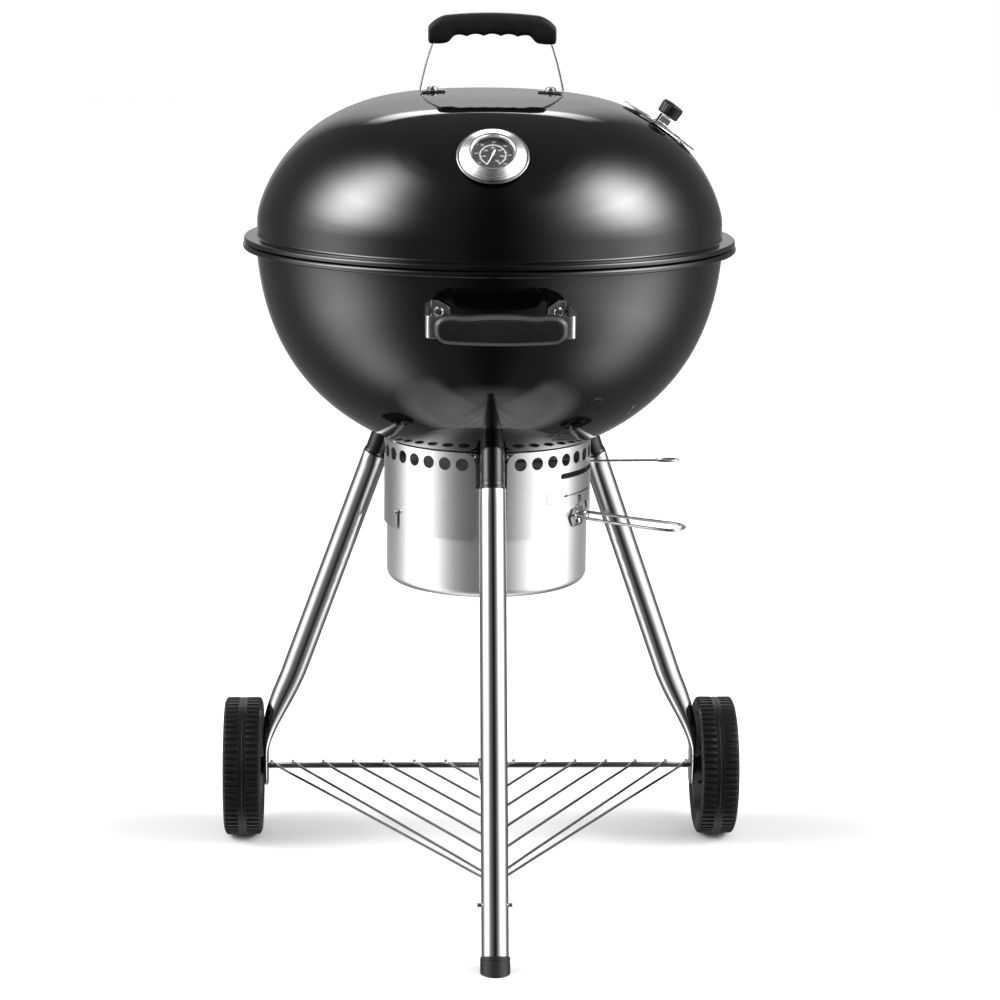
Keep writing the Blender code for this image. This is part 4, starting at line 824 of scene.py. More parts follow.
for side, sx in (("left", -1), ("right", 1)):
    zt = lid_z(LH_BOLT_X)
    n = lid_normal(LH_BOLT_X)
    axis = Vector((sx * n.x, 0, n.y))
    base = Vector((sx * LH_BOLT_X, 0, zt)) + LH_AT + axis * (strap_t + 0.0011 + GAP)
    screw("lid_handle_screw_" + side, base, axis, 0.0062, 0.0040, (0.0026, 0.0125), "lid", "lid_handle_bolt_" + side)
    hex_nut("lid_handle_hex_nut_" + side, Vector((sx * LH_BOLT_X, 0, zt)) + LH_AT - axis * (WALL + 0.0007), -axis,
            0.0055, 0.0040, 0.0034, "lid", "lid_handle_nut_" + side)
    # washer under the head
    w = turned(fillet([(0.0034, 0.0), (0.0078, 0.0), (0.0078, 0.0008), (0.0034, 0.0008)], 0.0003, 3), 48,
               place(base - axis * 0.0011, axis))
    piece("lid_handle_washer_" + side, w, M["zinc"], "lid", slot="zinc", sharp=40)

# ---------------------------------------------------------------- thermometer
tn = lid_normal(TH_R)
TH_AXIS = az(TH_AZ, tn.x, tn.y)
TH_POS = az(TH_AZ, TH_R, lid_z(TH_R))
TH = place(TH_POS, TH_AXIS)
m = Mat("turned_steel_bezel", (0.80, 0.80, 0.80), 0.20, 1.0, Anisotropic=0.55)
s = m.node("ShaderNodeSeparateXYZ")
tw = KM @ TH_POS
rel = m.node("ShaderNodeVectorMath", operation="SUBTRACT")
m.link(m.co, rel.inputs[0])
rel.inputs[1].default_value = tw
ln = m.node("ShaderNodeVectorMath", operation="LENGTH")
m.link(rel.outputs[0], ln.inputs[0])
rings_tex = m.node("ShaderNodeTexNoise", noise_dimensions="1D")
rings_tex.inputs["Detail"].default_value = 4.0
rings_tex.inputs["Scale"].default_value = 9000.0
m.link(ln.outputs["Value"], rings_tex.inputs["W"])
m.set("Roughness", m.remap(rings_tex.outputs["Fac"], 0.13, 0.30, 0.3, 0.7))
m.set("Base Color", m.mix_color(m.remap(m.noise(70.0, 4.0), 0.0, 1.0, 0.3, 0.7), (0.74, 0.74, 0.74), (0.84, 0.84, 0.84)))
m.bump(rings_tex.outputs["Fac"], 0.10, 0.00006)
M["bezel"] = m.m
back = fillet([(0.0060, 0.0008), (0.0409, 0.0008), (0.0418, 0.0011), (0.0418, 0.0013), (0.0405, 0.0017), (0.0385, 0.0019),
               (0.0060, 0.0017)], 0.0003, 3)
piece("thermometer_rim_plate", turned(back, 128, TH), M["zinc"], "lid", "thermometer_backplate", slot="zinc", sharp=45)
bez = fillet([(0.0238, 0.0021), (0.0386, 0.0021), (0.0389, 0.0036), (0.0375, 0.0050), (0.0292, 0.0094),
              (0.0272, 0.0106), (0.0252, 0.0104), (0.0246, 0.0088), (0.0240, 0.0072), (0.0238, 0.0040)],
             [0, 0.0006, 0.0012, 0.0018, 0.0022, 0.0016, 0.0008, 0.001, 0, 0], 6)
piece("thermometer_ring", turned(bez, 160, TH), M["bezel"], "lid", "thermometer_bezel", slot="brushed_steel", sharp=50)
md = Mat("dial_print_black", (0.012, 0.012, 0.013), 0.42)
md.set("Base Color", md.mix_color(md.remap(md.noise(260.0, 4.0), 0.0, 1.0, 0.3, 0.7), (0.010, 0.010, 0.011), (0.020, 0.020, 0.021)))
md.set("Roughness", md.remap(md.noise(1200.0, 2.0), 0.36, 0.52))
md.bump(md.noise(2500.0, 2.0), 0.05, 0.00005)
piece("thermometer_dial_plate", turned(fillet([(0, 0.0022), (0.0233, 0.0022), (0.0233, 0.0030), (0.0020, 0.0030), (0.0014, 0.0036), (0, 0.0036)],
                                              [0, 0, 0.0002, 0.0002, 0.0002, 0], 3), 96, TH),
      md.m, "lid", "thermometer_dial", slot="dial", sharp=40)
mw = Mat("dial_print_white", (0.78, 0.78, 0.77), 0.5)
mw.set("Base Color", mw.mix_color(mw.noise(420.0, 3.0), (0.66, 0.66, 0.65), (0.86, 0.86, 0.85)))
mw.set("Roughness", mw.remap(mw.noise(1500.0, 2.0), 0.42, 0.58))
marks = []
zt0, zt1 = 0.00302, 0.00312


def bar(r0, r1, w, ang, w2=None):
    a = math.radians(ang)
    c, s = math.cos(a), math.sin(a)
    w2 = w if w2 is None else w2
    return prism([(c * r0 - s * w, s * r0 + c * w), (c * r0 + s * w, s * r0 - c * w),
                  (c * r1 + s * w2, s * r1 - c * w2), (c * r1 - s * w2, s * r1 + c * w2)], zt0, zt1, TH)


A0, A1 = -118.0, -422.0                        # dial runs clockwise from the lower left to the lower right
marks.append(sector([(0.0146, zt0), (0.0152, zt0), (0.0152, zt1), (0.0146, zt1)], A1, A0, 96, TH))
for k in range(0, 61):
    a = A0 + (A1 - A0) * k / 60
    if k % 10 == 0:
        marks.append(bar(0.0126, 0.0150, 0.00034, a))
    elif k % 5 == 0:
        marks.append(bar(0.0132, 0.0150, 0.00024, a))
    else:
        marks.append(bar(0.0138, 0.0150, 0.00015, a))
for k in range(0, 33):
    a = A0 + (A1 - A0) * k / 32
    marks.append(bar(0.0150, 0.0163 if k % 4 else 0.0170, 0.00014 if k % 4 else 0.00024, a))


def digits(text, size, x, y):
    cu = bpy.data.curves.new("num", "FONT")
    cu.body = text
    cu.size = size
    cu.align_x = "CENTER"
    cu.align_y = "CENTER"
    cu.extrude = 0.00005
    cu.resolution_u = 2
    ob = bpy.data.objects.new("num", cu)
    bpy.context.scene.collection.objects.link(ob)
    bpy.context.view_layer.update()
    me = bpy.data.meshes.new_from_object(ob.evaluated_get(bpy.context.evaluated_depsgraph_get()))
    bm = bmesh.new()
    bm.from_mesh(me)
    bmesh.ops.transform(bm, matrix=TH @ Matrix.Translation((x, y, (zt0 + zt1) / 2)), verts=bm.verts)
    bpy.data.objects.remove(ob)
    bpy.data.meshes.remove(me)
    bpy.data.curves.remove(cu)
    return bm


for k, t in enumerate(("50", "100", "150", "200", "250", "300", "350")):
    a = math.radians(A0 + (A1 - A0) * k / 6)
    marks.append(digits(t, 0.0030, 0.0103 * math.cos(a), 0.0103 * math.sin(a)))
for k, t in enumerate(("100", "200", "300", "400", "500", "600", "700")):
    a = math.radians(A0 + (A1 - A0) * (k + 0.6) / 7)
    marks.append(digits(t, 0.0026, 0.0194 * math.cos(a), 0.0194 * math.sin(a)))
piece("thermometer_dial_marks", join(*marks), mw.m, "lid", slot="needle", sharp=30)
mg = Mat("thermometer_lens", (1.0, 1.0, 1.0), 0.02)
mg.p.inputs["Transmission Weight"].default_value = 1.0
mg.p.inputs["IOR"].default_value = 1.12
mg.set("Roughness", mg.remap(mg.noise(60.0, 3.0), 0.0, 0.02, 0.55, 0.9))
mg.bump(mg.noise(20.0, 1.0), 0.004, 0.0002)
piece("thermometer_lens_glass", turned([(0, 0.0060), (0.0233, 0.0060), (0.0233, 0.0067), (0.018, 0.0070), (0.010, 0.0072), (0, 0.0073)], 96, TH),
      mg.m, "lid", "thermometer_glass", slot="clear_glass", sharp=40)
th_dir = math.radians(-113.0)
nd = Vector((math.cos(th_dir), math.sin(th_dir)))
ns = Vector((-nd.y, nd.x))
outl = [nd * 0.0170, nd * 0.0120 + ns * 0.00035, nd * 0.004 + ns * 0.0007, nd * 0.0 + ns * 0.0011, nd * -0.0040 + ns * 0.0013,
        nd * -0.0068 + ns * 0.0009, nd * -0.0075, nd * -0.0068 - ns * 0.0009, nd * -0.0040 - ns * 0.0013, nd * 0.0 - ns * 0.0011,
        nd * 0.004 - ns * 0.0007, nd * 0.0120 - ns * 0.00035]
needle = join(prism([(p.x, p.y) for p in outl], 0.0041, 0.0046, TH),
              turned([(0, 0.0037), (0.0016, 0.0037), (0.0016, 0.0048), (0.0010, 0.0052), (0, 0.0053)], 24, TH))
mn = Mat("pointer_white", (0.80, 0.80, 0.79), 0.35)
mn.set("Base Color", mn.mix_color(mn.noise(500.0, 3.0), (0.70, 0.70, 0.69), (0.86, 0.86, 0.85)))
mn.set("Roughness", mn.remap(mn.noise(900.0), 0.28, 0.44))
piece("thermometer_pointer_blade", needle, mn.m, "thermometer_pointer", "thermometer_needle", slot="needle", sharp=35)

# --------------------------------------------------------------- lid damper


def dish(r, top):
    return top - (DAMPER_DISH - math.sqrt(DAMPER_DISH ** 2 - r ** 2))


d0, d1 = 0.0007, 0.0017
up = [(0.0034, dish(0.0034, d1) + 0.0004), (0.0095, dish(0.0095, d1) + 0.0004), (0.0110, dish(0.0110, d1))]
up += [(0.011 + (DAMPER_R - 0.0170) * k / 14.0, dish(0.011 + (DAMPER_R - 0.0170) * k / 14.0, d1)) for k in range(1, 15)]
up += [(DAMPER_R - 0.0052, dish(DAMPER_R - 0.0052, d1) + 0.0000), (DAMPER_R - 0.0040, dish(DAMPER_R, d1) + 0.0007),
       (DAMPER_R - 0.0022, dish(DAMPER_R, d1) + 0.0009), (DAMPER_R - 0.0006, dish(DAMPER_R, d1) + 0.0004),
       (DAMPER_R, dish(DAMPER_R, d0) + 0.0006), (DAMPER_R - 0.0008, dish(DAMPER_R, d0) + 0.0002)]
low = [(r, dish(r, d0)) for r in [0.0034 + (DAMPER_R - 0.006) * k / 14.0 for k in range(15)]]
disc = piece("damper_disc_stamped", turned(low + list(reversed(up)), 128, DM), M["zinc"], "lid_damper",
             "lid_damper_disc", slot="zinc", sharp=40)
tools = []
for k in range(4):
    a = math.radians(45 + 90 * k)
    p = DM @ Vector((0.031 * math.cos(a), 0.031 * math.sin(a), 0))
    tools.append(rod(p - DM_AXIS * 0.02, p + DM_AXIS * 0.02, 0.0105, 40))
cut(disc, join(*tools))
bake(disc, 40)
bz = 0.0120
LXZ = DM @ XZ
br_path = fillet([(-0.0210, 0.0022), (-0.0130, 0.0022), (-0.0118, bz), (0.0118, bz), (0.0130, 0.0022), (0.0210, 0.0022)],
                 [0, 0.0016, 0.0024, 0.0024, 0.0016, 0], 6)
piece("damper_bracket_bent", strap(br_path, 0.0012, -0.0070, 0.0070, LXZ, smooth=False), M["zinc"], "lid_damper",
      "lid_damper_bracket", slot="zinc", sharp=35, bevel=(0.0003, 2))
for k, (x, z) in enumerate(((-0.0170, 0.0028), (0.0170, 0.0028))):
    rv = turned([(0, 0.0014), (0.0012, 0.0012), (0.0022, 0.0004), (0.0023, 0.0)], 32, LXZ @ place((x, z, 0), (0, 1, 0)))
    rv = turned([(0, 0.0014), (0.0012, 0.0012), (0.0022, 0.0004), (0.0023, 0.0)], 32,
                DM @ Matrix.Translation((x, 0, z)))
    piece("damper_spot_rivet_%d" % k, rv, M["zinc"], "lid_damper", slot="zinc", sharp=40)
kb = bz + 0.0010
pr = fillet([(0, kb), (0.0126, kb), (0.0140, kb + 0.0016), (0.0143, kb + 0.0135), (0.0130, kb + 0.0162), (0.0060, kb + 0.0170), (0, kb + 0.0172)],
            [0, 0.0008, 0.0010, 0.0018, 0.0014, 0, 0], 5)
knob_bm = bmesh.new()
seg = 144
rows = []
for r, z in pr:
    if r < 1e-6:
        rows.append([knob_bm.verts.new((0, 0, z))])
        continue
    row = []
    side = kb + 0.0022 < z < kb + 0.0150 and r > 0.0128
    for k in range(seg):
        a = 2 * math.pi * k / seg
        d = 0.00075 * (0.5 + 0.5 * math.cos(24 * a)) ** 0.6 if side else 0.0004
        row.append(knob_bm.verts.new(((r - 0.00075 + d) * math.cos(a), (r - 0.00075 + d) * math.sin(a), z)))
    rows.append(row)
full = []
for a, b in zip(rows[:-1], rows[1:]):
    for k in range(seg):
        j = (k + 1) % seg
        if len(a) == 1:
            knob_bm.faces.new((a[0], b[j], b[k]))
        elif len(b) == 1:
            knob_bm.faces.new((a[k], a[j], b[0]))
        else:
            knob_bm.faces.new((a[k], a[j], b[j], b[k]))
moved(knob_bm, DM)
piece("damper_knob_ribbed", knob_bm, M["knob"], "lid_damper", "lid_damper_knob", slot="grip", sharp=50)

# ------------------------------------------------------------------------ bowl
r_top = bowl_r(0.7943)
zs = [0.7943 - (0.7943 - 0.5760) * (1 - math.cos(math.pi / 2 * k / 44)) for k in range(45)]
zs = [0.7943 + (0.5760 - 0.7943) * math.sin(math.pi / 2 * k / 44) for k in range(45)]
bowl_curve = [(bowl_r(z), z) for z in zs]
rl = bowl_curve[-1][0]
bowl_curve += [(rl * (1 - k / 20.0), bowl_z(rl * (1 - k / 20.0))) for k in range(1, 21)]
b_in = offset(bowl_curve, WALL)
b_in[-1] = (0.0, BOWL_Z0 - BOWL_DROP + WALL)
r0 = bowl_r(0.7943)
lipb = fillet([(r0 - WALL, 0.7943), (r0 - WALL, RIM_Z - 0.0047), (r0 + 0.0010, RIM_Z - 0.0008), (BOWL_LIP_R - 0.0020, RIM_Z - 0.0003),
               (BOWL_LIP_R, RIM_Z - 0.0030), (BOWL_LIP_R - 0.0004, RIM_Z - 0.0070), (BOWL_LIP_R - 0.0036, RIM_Z - 0.0079),
               (BOWL_LIP_R - 0.0064, RIM_Z - 0.0066), (BOWL_LIP_R - 0.0068, RIM_Z - 0.0040), (r0 + 0.0014, RIM_Z - 0.0046),
               (r0, RIM_Z - 0.0085), (r0, 0.7943)],
              [0, 0.002, 0.0016, 0.0026, 0.0026, 0.0024, 0.0022, 0.002, 0.001, 0.0022, 0.002, 0], 6)
prof = list(reversed(b_in)) + lipb[:-1] + bowl_curve
bowl = piece("bowl", turned(prof, 192), M["enamel"], "stand", "bowl_shell", slot="enamel", sharp=60)
# three ash slots under the sweep's blades and the hub's hole
ash = []
for k in range(3):
    a = LEVER_AZ + 30.0 + 120.0 * k - 46.0
    ash.append(sector([(0.050, 0.50), (0.104, 0.50), (0.104, 0.60), (0.050, 0.60)], a - 17.0, a + 17.0, 24))
ash.append(rod((0, 0, 0.50), (0, 0, 0.60), 0.0062, 40))
cut(bowl, join(*ash))
bake(bowl, 60)

# ---------------------------------------------------------------- bowl's handle
for side, sx in (("left", -1), ("right", 1)):
    fa = -90.0 + sx * BH_FOOT_AZ
    rf = 0.2848
    c0 = az(fa - sx * 2.4, rf)
    cm_ = az(fa, rf + 0.0003)
    c1 = az(fa + sx * 2.0, rf)
    path = fillet([(c0.x, c0.y), (cm_.x, cm_.y), (c1.x, c1.y), (sx * 0.0832, -0.2960), (sx * 0.0836, -0.3330),
                   (sx * 0.0832, -0.3438), (sx * 0.0700, -0.3438), (sx * 0.0600, -0.3438)],
                  [0, 0.01, 0.003, 0.006, 0.01, 0.0060, 0.01, 0], 7)
    n_out = len(path)
    bm = strap(path, 0.0018, BH_STRIP_Z - BH_STRIP_H / 2, BH_STRIP_Z + BH_STRIP_H / 2, smooth=False)
    bmesh.ops.subdivide_edges(bm, edges=[e for e in bm.edges if abs(e.verts[0].co.z - e.verts[1].co.z) > 0.01], cuts=8)
    for v in bm.verts:
        u = min(1.0, max(0.0, (-0.2880 - v.co.y) / 0.0545))
        # the foot's end is rounded off
        e = (v.co.xy - Vector((c0.x, c0.y))).length
        if e < 0.011 and v.co.y > -0.292:
            h = BH_STRIP_H / 2
            w = math.sqrt(max(0.04, 1 - (1 - e / 0.011) ** 2))
            v.co.z = BH_STRIP_Z + (v.co.z - BH_STRIP_Z) * w
        v.co.z -= BH_DROP * u
    piece("bowl_handle_strap_" + side, bm, M["zinc_strap"], "stand", "bowl_handle_bracket_" + side, slot="zinc", sharp=40,
          bevel=(0.0003, 2))
    radial = az(fa, 1.0)
    foot = az(fa, rf, BH_STRIP_Z)
    screw("bowl_handle_screw_" + side, foot + radial * (0.0009 + GAP), radial, 0.0058, 0.0038, (0.0028, 0.0150), "stand",
          "bowl_handle_bolt_" + side)
    hex_nut("bowl_handle_hex_nut_" + side, az(fa, bowl_r(BH_STRIP_Z) - WALL - 0.0036, BH_STRIP_Z), -radial, 0.0056, 0.0040,
            0.0036, "stand", "bowl_handle_nut_" + side)


def bh_edge(x, sign):
    """Top (+1) or bottom (-1) edge of the bowl handle's grip at x."""
    u = abs(x) / BH_HALF
    if sign > 0:
        z = BH_Z1 - 0.0030 * u ** 2
        z += 0.0012 * math.exp(-((abs(x) - 0.058) / 0.010) ** 2) - 0.0010 * math.exp(-((abs(x) - 0.036) / 0.012) ** 2)
        e = max(0.0, (abs(x) - (BH_HALF - 0.0130)) / 0.0130)
        return z - 0.0105 * (1 - math.sqrt(max(0.0, 1 - min(1.0, e) ** 2)))
    z = BH_Z0 + 0.0034 * u ** 2
    e = max(0.0, (abs(x) - (BH_HALF - 0.0150)) / 0.0150)
    return z + 0.0130 * (1 - math.sqrt(max(0.0, 1 - min(1.0, e) ** 2)))


# the grip is a flat-fronted bar with a broad bevel all round
bh_x = [-BH_HALF + 0.0150 * (1 - math.cos(math.radians(90 * k / 12))) for k in range(13)]
bh_x += [-BH_HALF + 0.0150 + (2 * BH_HALF - 0.0300) * k / 60 for k in range(1, 60)]
bh_x += [BH_HALF - 0.0150 * (1 - math.cos(math.radians(90 * k / 12))) for k in reversed(range(13))]
ring_out = [(x, bh_edge(x, 1)) for x in bh_x] + [(x, bh_edge(x, -1)) for x in reversed(bh_x)]


def inset(pts, d):
    n = len(pts)
    out = []
    for i in range(n):
        a, b, c = Vector(pts[(i - 1) % n]), Vector(pts[i]), Vector(pts[(i + 1) % n])
        t = (c - a)
        if t.length < 1e-9:
            t = c - b
        t.normalize()
        nn = Vector((t.y, -t.x))
        out.append((b.x + nn.x * d, b.y + nn.y * d))
    return out


loops = []
yf, yb = BH_Y0, BH_Y1
for d, y in ((0.0088, yb), (0.0042, yb), (0.0018, yb - 0.0006), (0.0004, yb - 0.0022), (0.0, yb - 0.0048), (0.0002, yf + 0.0080),
             (0.0010, yf + 0.0050), (0.0024, yf + 0.0028), (0.0044, yf + 0.0012), (0.0052, yf + 0.00075), (0.0058, yf + 0.00072),
             (0.0062, yf + 0.0004), (0.0070, yf + 0.0001), (0.0095, yf)):
    loops.append([(x, y, z) for x, z in inset(ring_out, d)])
bm = bmesh.new()
vr = [[bm.verts.new(p) for p in lp] for lp in loops]
for a, b in zip(vr[:-1], vr[1:]):
    n = len(a)
    for i in range(n):
        j = (i + 1) % n
        bm.faces.new((a[i], a[j], b[j], b[i]))
bm.faces.new(vr[0][::-1])
bm.faces.new(vr[-1])
bgrip = piece("bowl_handle_moulded_grip", bm, M["grip"], "stand", "bowl_handle_grip", slot="grip", sharp=50)
bgrip.data.materials.append(M["bevel_painted_highlight"])
ky_w = KY
# the forward-facing bevel faces take the lighter copy of the plastic, a painted highlight
for f in bgrip.data.polygons:
    y = f.center.y - KY
    if yf + 0.00074 < y < yf + 0.0060 and f.normal.y < -0.08:
        f.material_index = 1
zt = BH_STRIP_Z - BH_DROP
for sx in (-1, 1):
    x0, x1 = sorted((sx * 0.0585, sx * 0.0900))
    zlo, zhi = zt - BH_STRIP_H / 2 - GAP, zt + BH_STRIP_H / 2 + GAP
    cut(bgrip, prism([(x0, -0.3438 - 0.0013), (x1, -0.3438 - 0.0013), (x1, -0.3438 + 0.0013), (x0, -0.3438 + 0.0013)], zlo, zhi))
bake(bgrip, 50)

# ------------------------------------------------------------------------ legs


def leg_axis(deg, z):
    return az(deg, LEG_R_AXLE + LEG_SPLAY * (WHEEL_R - z), z)


def leg_dir(deg):
    return (leg_axis(deg, 0.0) - leg_axis(deg, 0.5)).normalized()


cutter_pts = [(r, z) for r, z in offset(bowl_curve, -GAP) if z < 0.70]
cutter_pts += [(0.0, BOWL_Z0 - BOWL_DROP - GAP), (0.0, cutter_pts[0][1])] if cutter_pts[-1][0] > 1e-6 else [(0.0, cutter_pts[0][1])]
for name, deg in (("front", -90.0), ("left", 150.0), ("right", 30.0)):
    d = leg_dir(deg)
    top = leg_axis(deg, 0.612)
    end = leg_axis(deg, LEG_TOP_Z) + d * 0.040
    L = (end - top).length
    Lt = (leg_axis(deg, LEG_TOP_Z) - top).length
    rs = SOCKET_OD / 2
    pts = [(SOCKET_ID / 2, 0.0), (rs, 0.0)] + [(rs, Lt * k / 10) for k in range(1, 10)]
    pts += fillet([(rs, Lt - 0.010), (rs, Lt - 0.0042), (LEG_OD / 2 - 0.0004, Lt - 0.0030), (LEG_OD / 2 - 0.0004, Lt - 0.0004),
                   (rs, Lt - 0.0003), (rs, L - 0.001)], [0, 0.001, 0.0008, 0.0004, 0.0002, 0], 4)
    pts += [(rs - 0.0006, L), (SOCKET_ID / 2, L)] + [(SOCKET_ID / 2, L * (9 - k) / 10) for k in range(9)]
    s = piece("leg_socket_tube_" + name, turned(pts, 96, place(top, d)), M["enamel_socket"], "stand", "leg_socket_" + name,
              slot="enamel", sharp=40)
    cut(s, turned(cutter_pts, 128))
    bake(s, 40)
d = leg_dir(-90)
p0 = leg_axis(-90, LEG_TOP_Z)
p1 = leg_axis(-90, 0.0080)
L = (p1 - p0).length
ro, ri = LEG_OD / 2, LEG_ID / 2
pts = fillet([(ri, 0.02), (ri, 0.0), (ro, 0.0), (ro, 0.02)], [0, 0.0002, 0.0007, 0], 4)
pts = pts + [(ro, L * k / 24) for k in range(1, 24)] + [(ro, L), (ri, L)] + [(ri, L * (24 - k) / 24) for k in range(1, 23)]
piece("leg_front_tube", turned(pts, 96, place(p0, d)), M["chrome_leg"], "stand", "leg_front", slot="chrome", sharp=40)
cap_top = leg_axis(-90, FOOT_H)
e = (p1 - cap_top).length
cap_pts = [(ri - GAP, -0.012), (ri - GAP, e + GAP), (ro + 0.0004, e + GAP)]
cap_pts += fillet([(ro + 0.0004, 0.0006), (ro + 0.0006, -0.0002), (FOOT_OD / 2 - 0.0005, 0.0), (FOOT_OD / 2, 0.0016), (FOOT_OD / 2, 0.0060),
                   (FOOT_OD / 2 - 0.0004, 0.0068), (FOOT_OD / 2, 0.0078), (FOOT_OD / 2, 0.045)],
                  [0, 0.0003, 0.0006, 0.001, 0.0004, 0.0005, 0.0004, 0], 4)
cap_pts += [(0.0, 0.045), (0.0, -0.012)]
cap = piece("foot_cap_moulded", turned(cap_pts, 96, place(cap_top, d)), M["foot"], "stand", "foot_cap", slot="wheel_plastic", sharp=40)
cut(cap, prism([(-0.06, -0.45), (0.06, -0.45), (0.06, -0.30), (-0.06, -0.30)], -0.06, 0.0))
bake(cap, 40)

for name, deg, sx in (("left", 150.0, -1), ("right", 30.0, 1)):
    key = [(LEG_TOP_Z, 1.0, 1.0), (0.230, 1.0, 1.0), (0.190, 0.93, 1.07), (0.163, 0.74, 1.17), (0.138, 0.50, 1.29),
           (0.120, 0.27, 1.38), (0.108, 0.5 * TONGUE_T / ro, 1.42), (0.0790, 0.5 * TONGUE_T / ro, 1.36),
           (0.0735, 0.5 * TONGUE_T / ro, 1.22), (0.0695, 0.5 * TONGUE_T / ro, 0.95), (0.0672, 0.45 * TONGUE_T / ro, 0.55),
           (0.0668, 0.35 * TONGUE_T / ro, 0.30)]

    def centre(z):
        c = leg_axis(deg, z)
        u = min(1.0, max(0.0, (0.230 - z) / (0.230 - 0.108)))
        u = u * u
        c.x = c.x * (1 - u) + sx * TONGUE_X * u
        c.y = c.y * (1 - u) + (AXLE_Y + 0.16 * (WHEEL_R - z)) * u
        return c

    def section(z, fa, fb):
        c = centre(z)
        dd = (centre(z - 0.003) - centre(z + 0.003)).normalized() if z < 0.52 else leg_dir(deg)
        u = (Vector((1, 0, 0)) - dd * dd.x).normalized()
        v = dd.cross(u)
        n = 64
        flat = max(0.0, min(1.0, (0.9 - fa) / 0.7))
        p = 2.0 + 1.6 * flat
        out = []
        for k in range(n):
            a = 2 * math.pi * k / n
            cc, ss = math.cos(a), math.sin(a)
            out.append(c + u * (ro * fa * math.copysign(abs(cc) ** (2 / 2.0), cc)) +
                       v * (ro * fb * math.copysign(abs(ss) ** (2 / p), ss)))
        return out

    def at(z):
        for (za, a0, b0), (zb, a1, b1) in zip(key[:-1], key[1:]):
            if zb <= z <= za:
                t = (za - z) / (za - zb)
                return a0 + (a1 - a0) * t, b0 + (b1 - b0) * t
        return key[-1][1:]

    zz = [LEG_TOP_Z - 0.0008 * k for k in range(2)] + [LEG_TOP_Z - 0.001 - (LEG_TOP_Z - 0.001 - 0.235) * k / 20 for k in range(1, 21)]
    zz += [0.235 - (0.235 - 0.105) * k / 34 for k in range(1, 35)] + [0.105 - (0.105 - 0.0790) * k / 5 for k in range(1, 6)]
    zz += [k[0] for k in key[8:]]
    secs = []
    for i, z in enumerate(zz):
        if z > 0.06 and z > 0.0795:
            fa = sum(at(min(LEG_TOP_Z, max(0.0795, z + q)))[0] for q in (-0.007, 0.0, 0.007)) / 3 if z < 0.5 else at(z)[0]
            fb = sum(at(min(LEG_TOP_Z, max(0.0795, z + q)))[1] for q in (-0.007, 0.0, 0.007)) / 3 if z < 0.5 else at(z)[1]
        else:
            fa, fb = at(z)
        if i == 0:
            fa, fb = fa * 0.975, fb * 0.975
        secs.append(section(z, fa, fb))
    leg = piece("leg_%s_tube" % name, loft(secs), M["chrome_leg"], "stand", "leg_" + name, slot="chrome", sharp=45)
    t0 = leg_axis(deg, LEG_TOP_Z) - leg_dir(deg) * 0.02
    t1 = leg_axis(deg, 0.235)
    cut(leg, rod(t0, t1, ri, 64), rod((sx * 0.25, AXLE_Y, WHEEL_R), (sx * 0.31, AXLE_Y, WHEEL_R), AXLE_D / 2 + 0.0004, 48))
    bake(leg, 45)

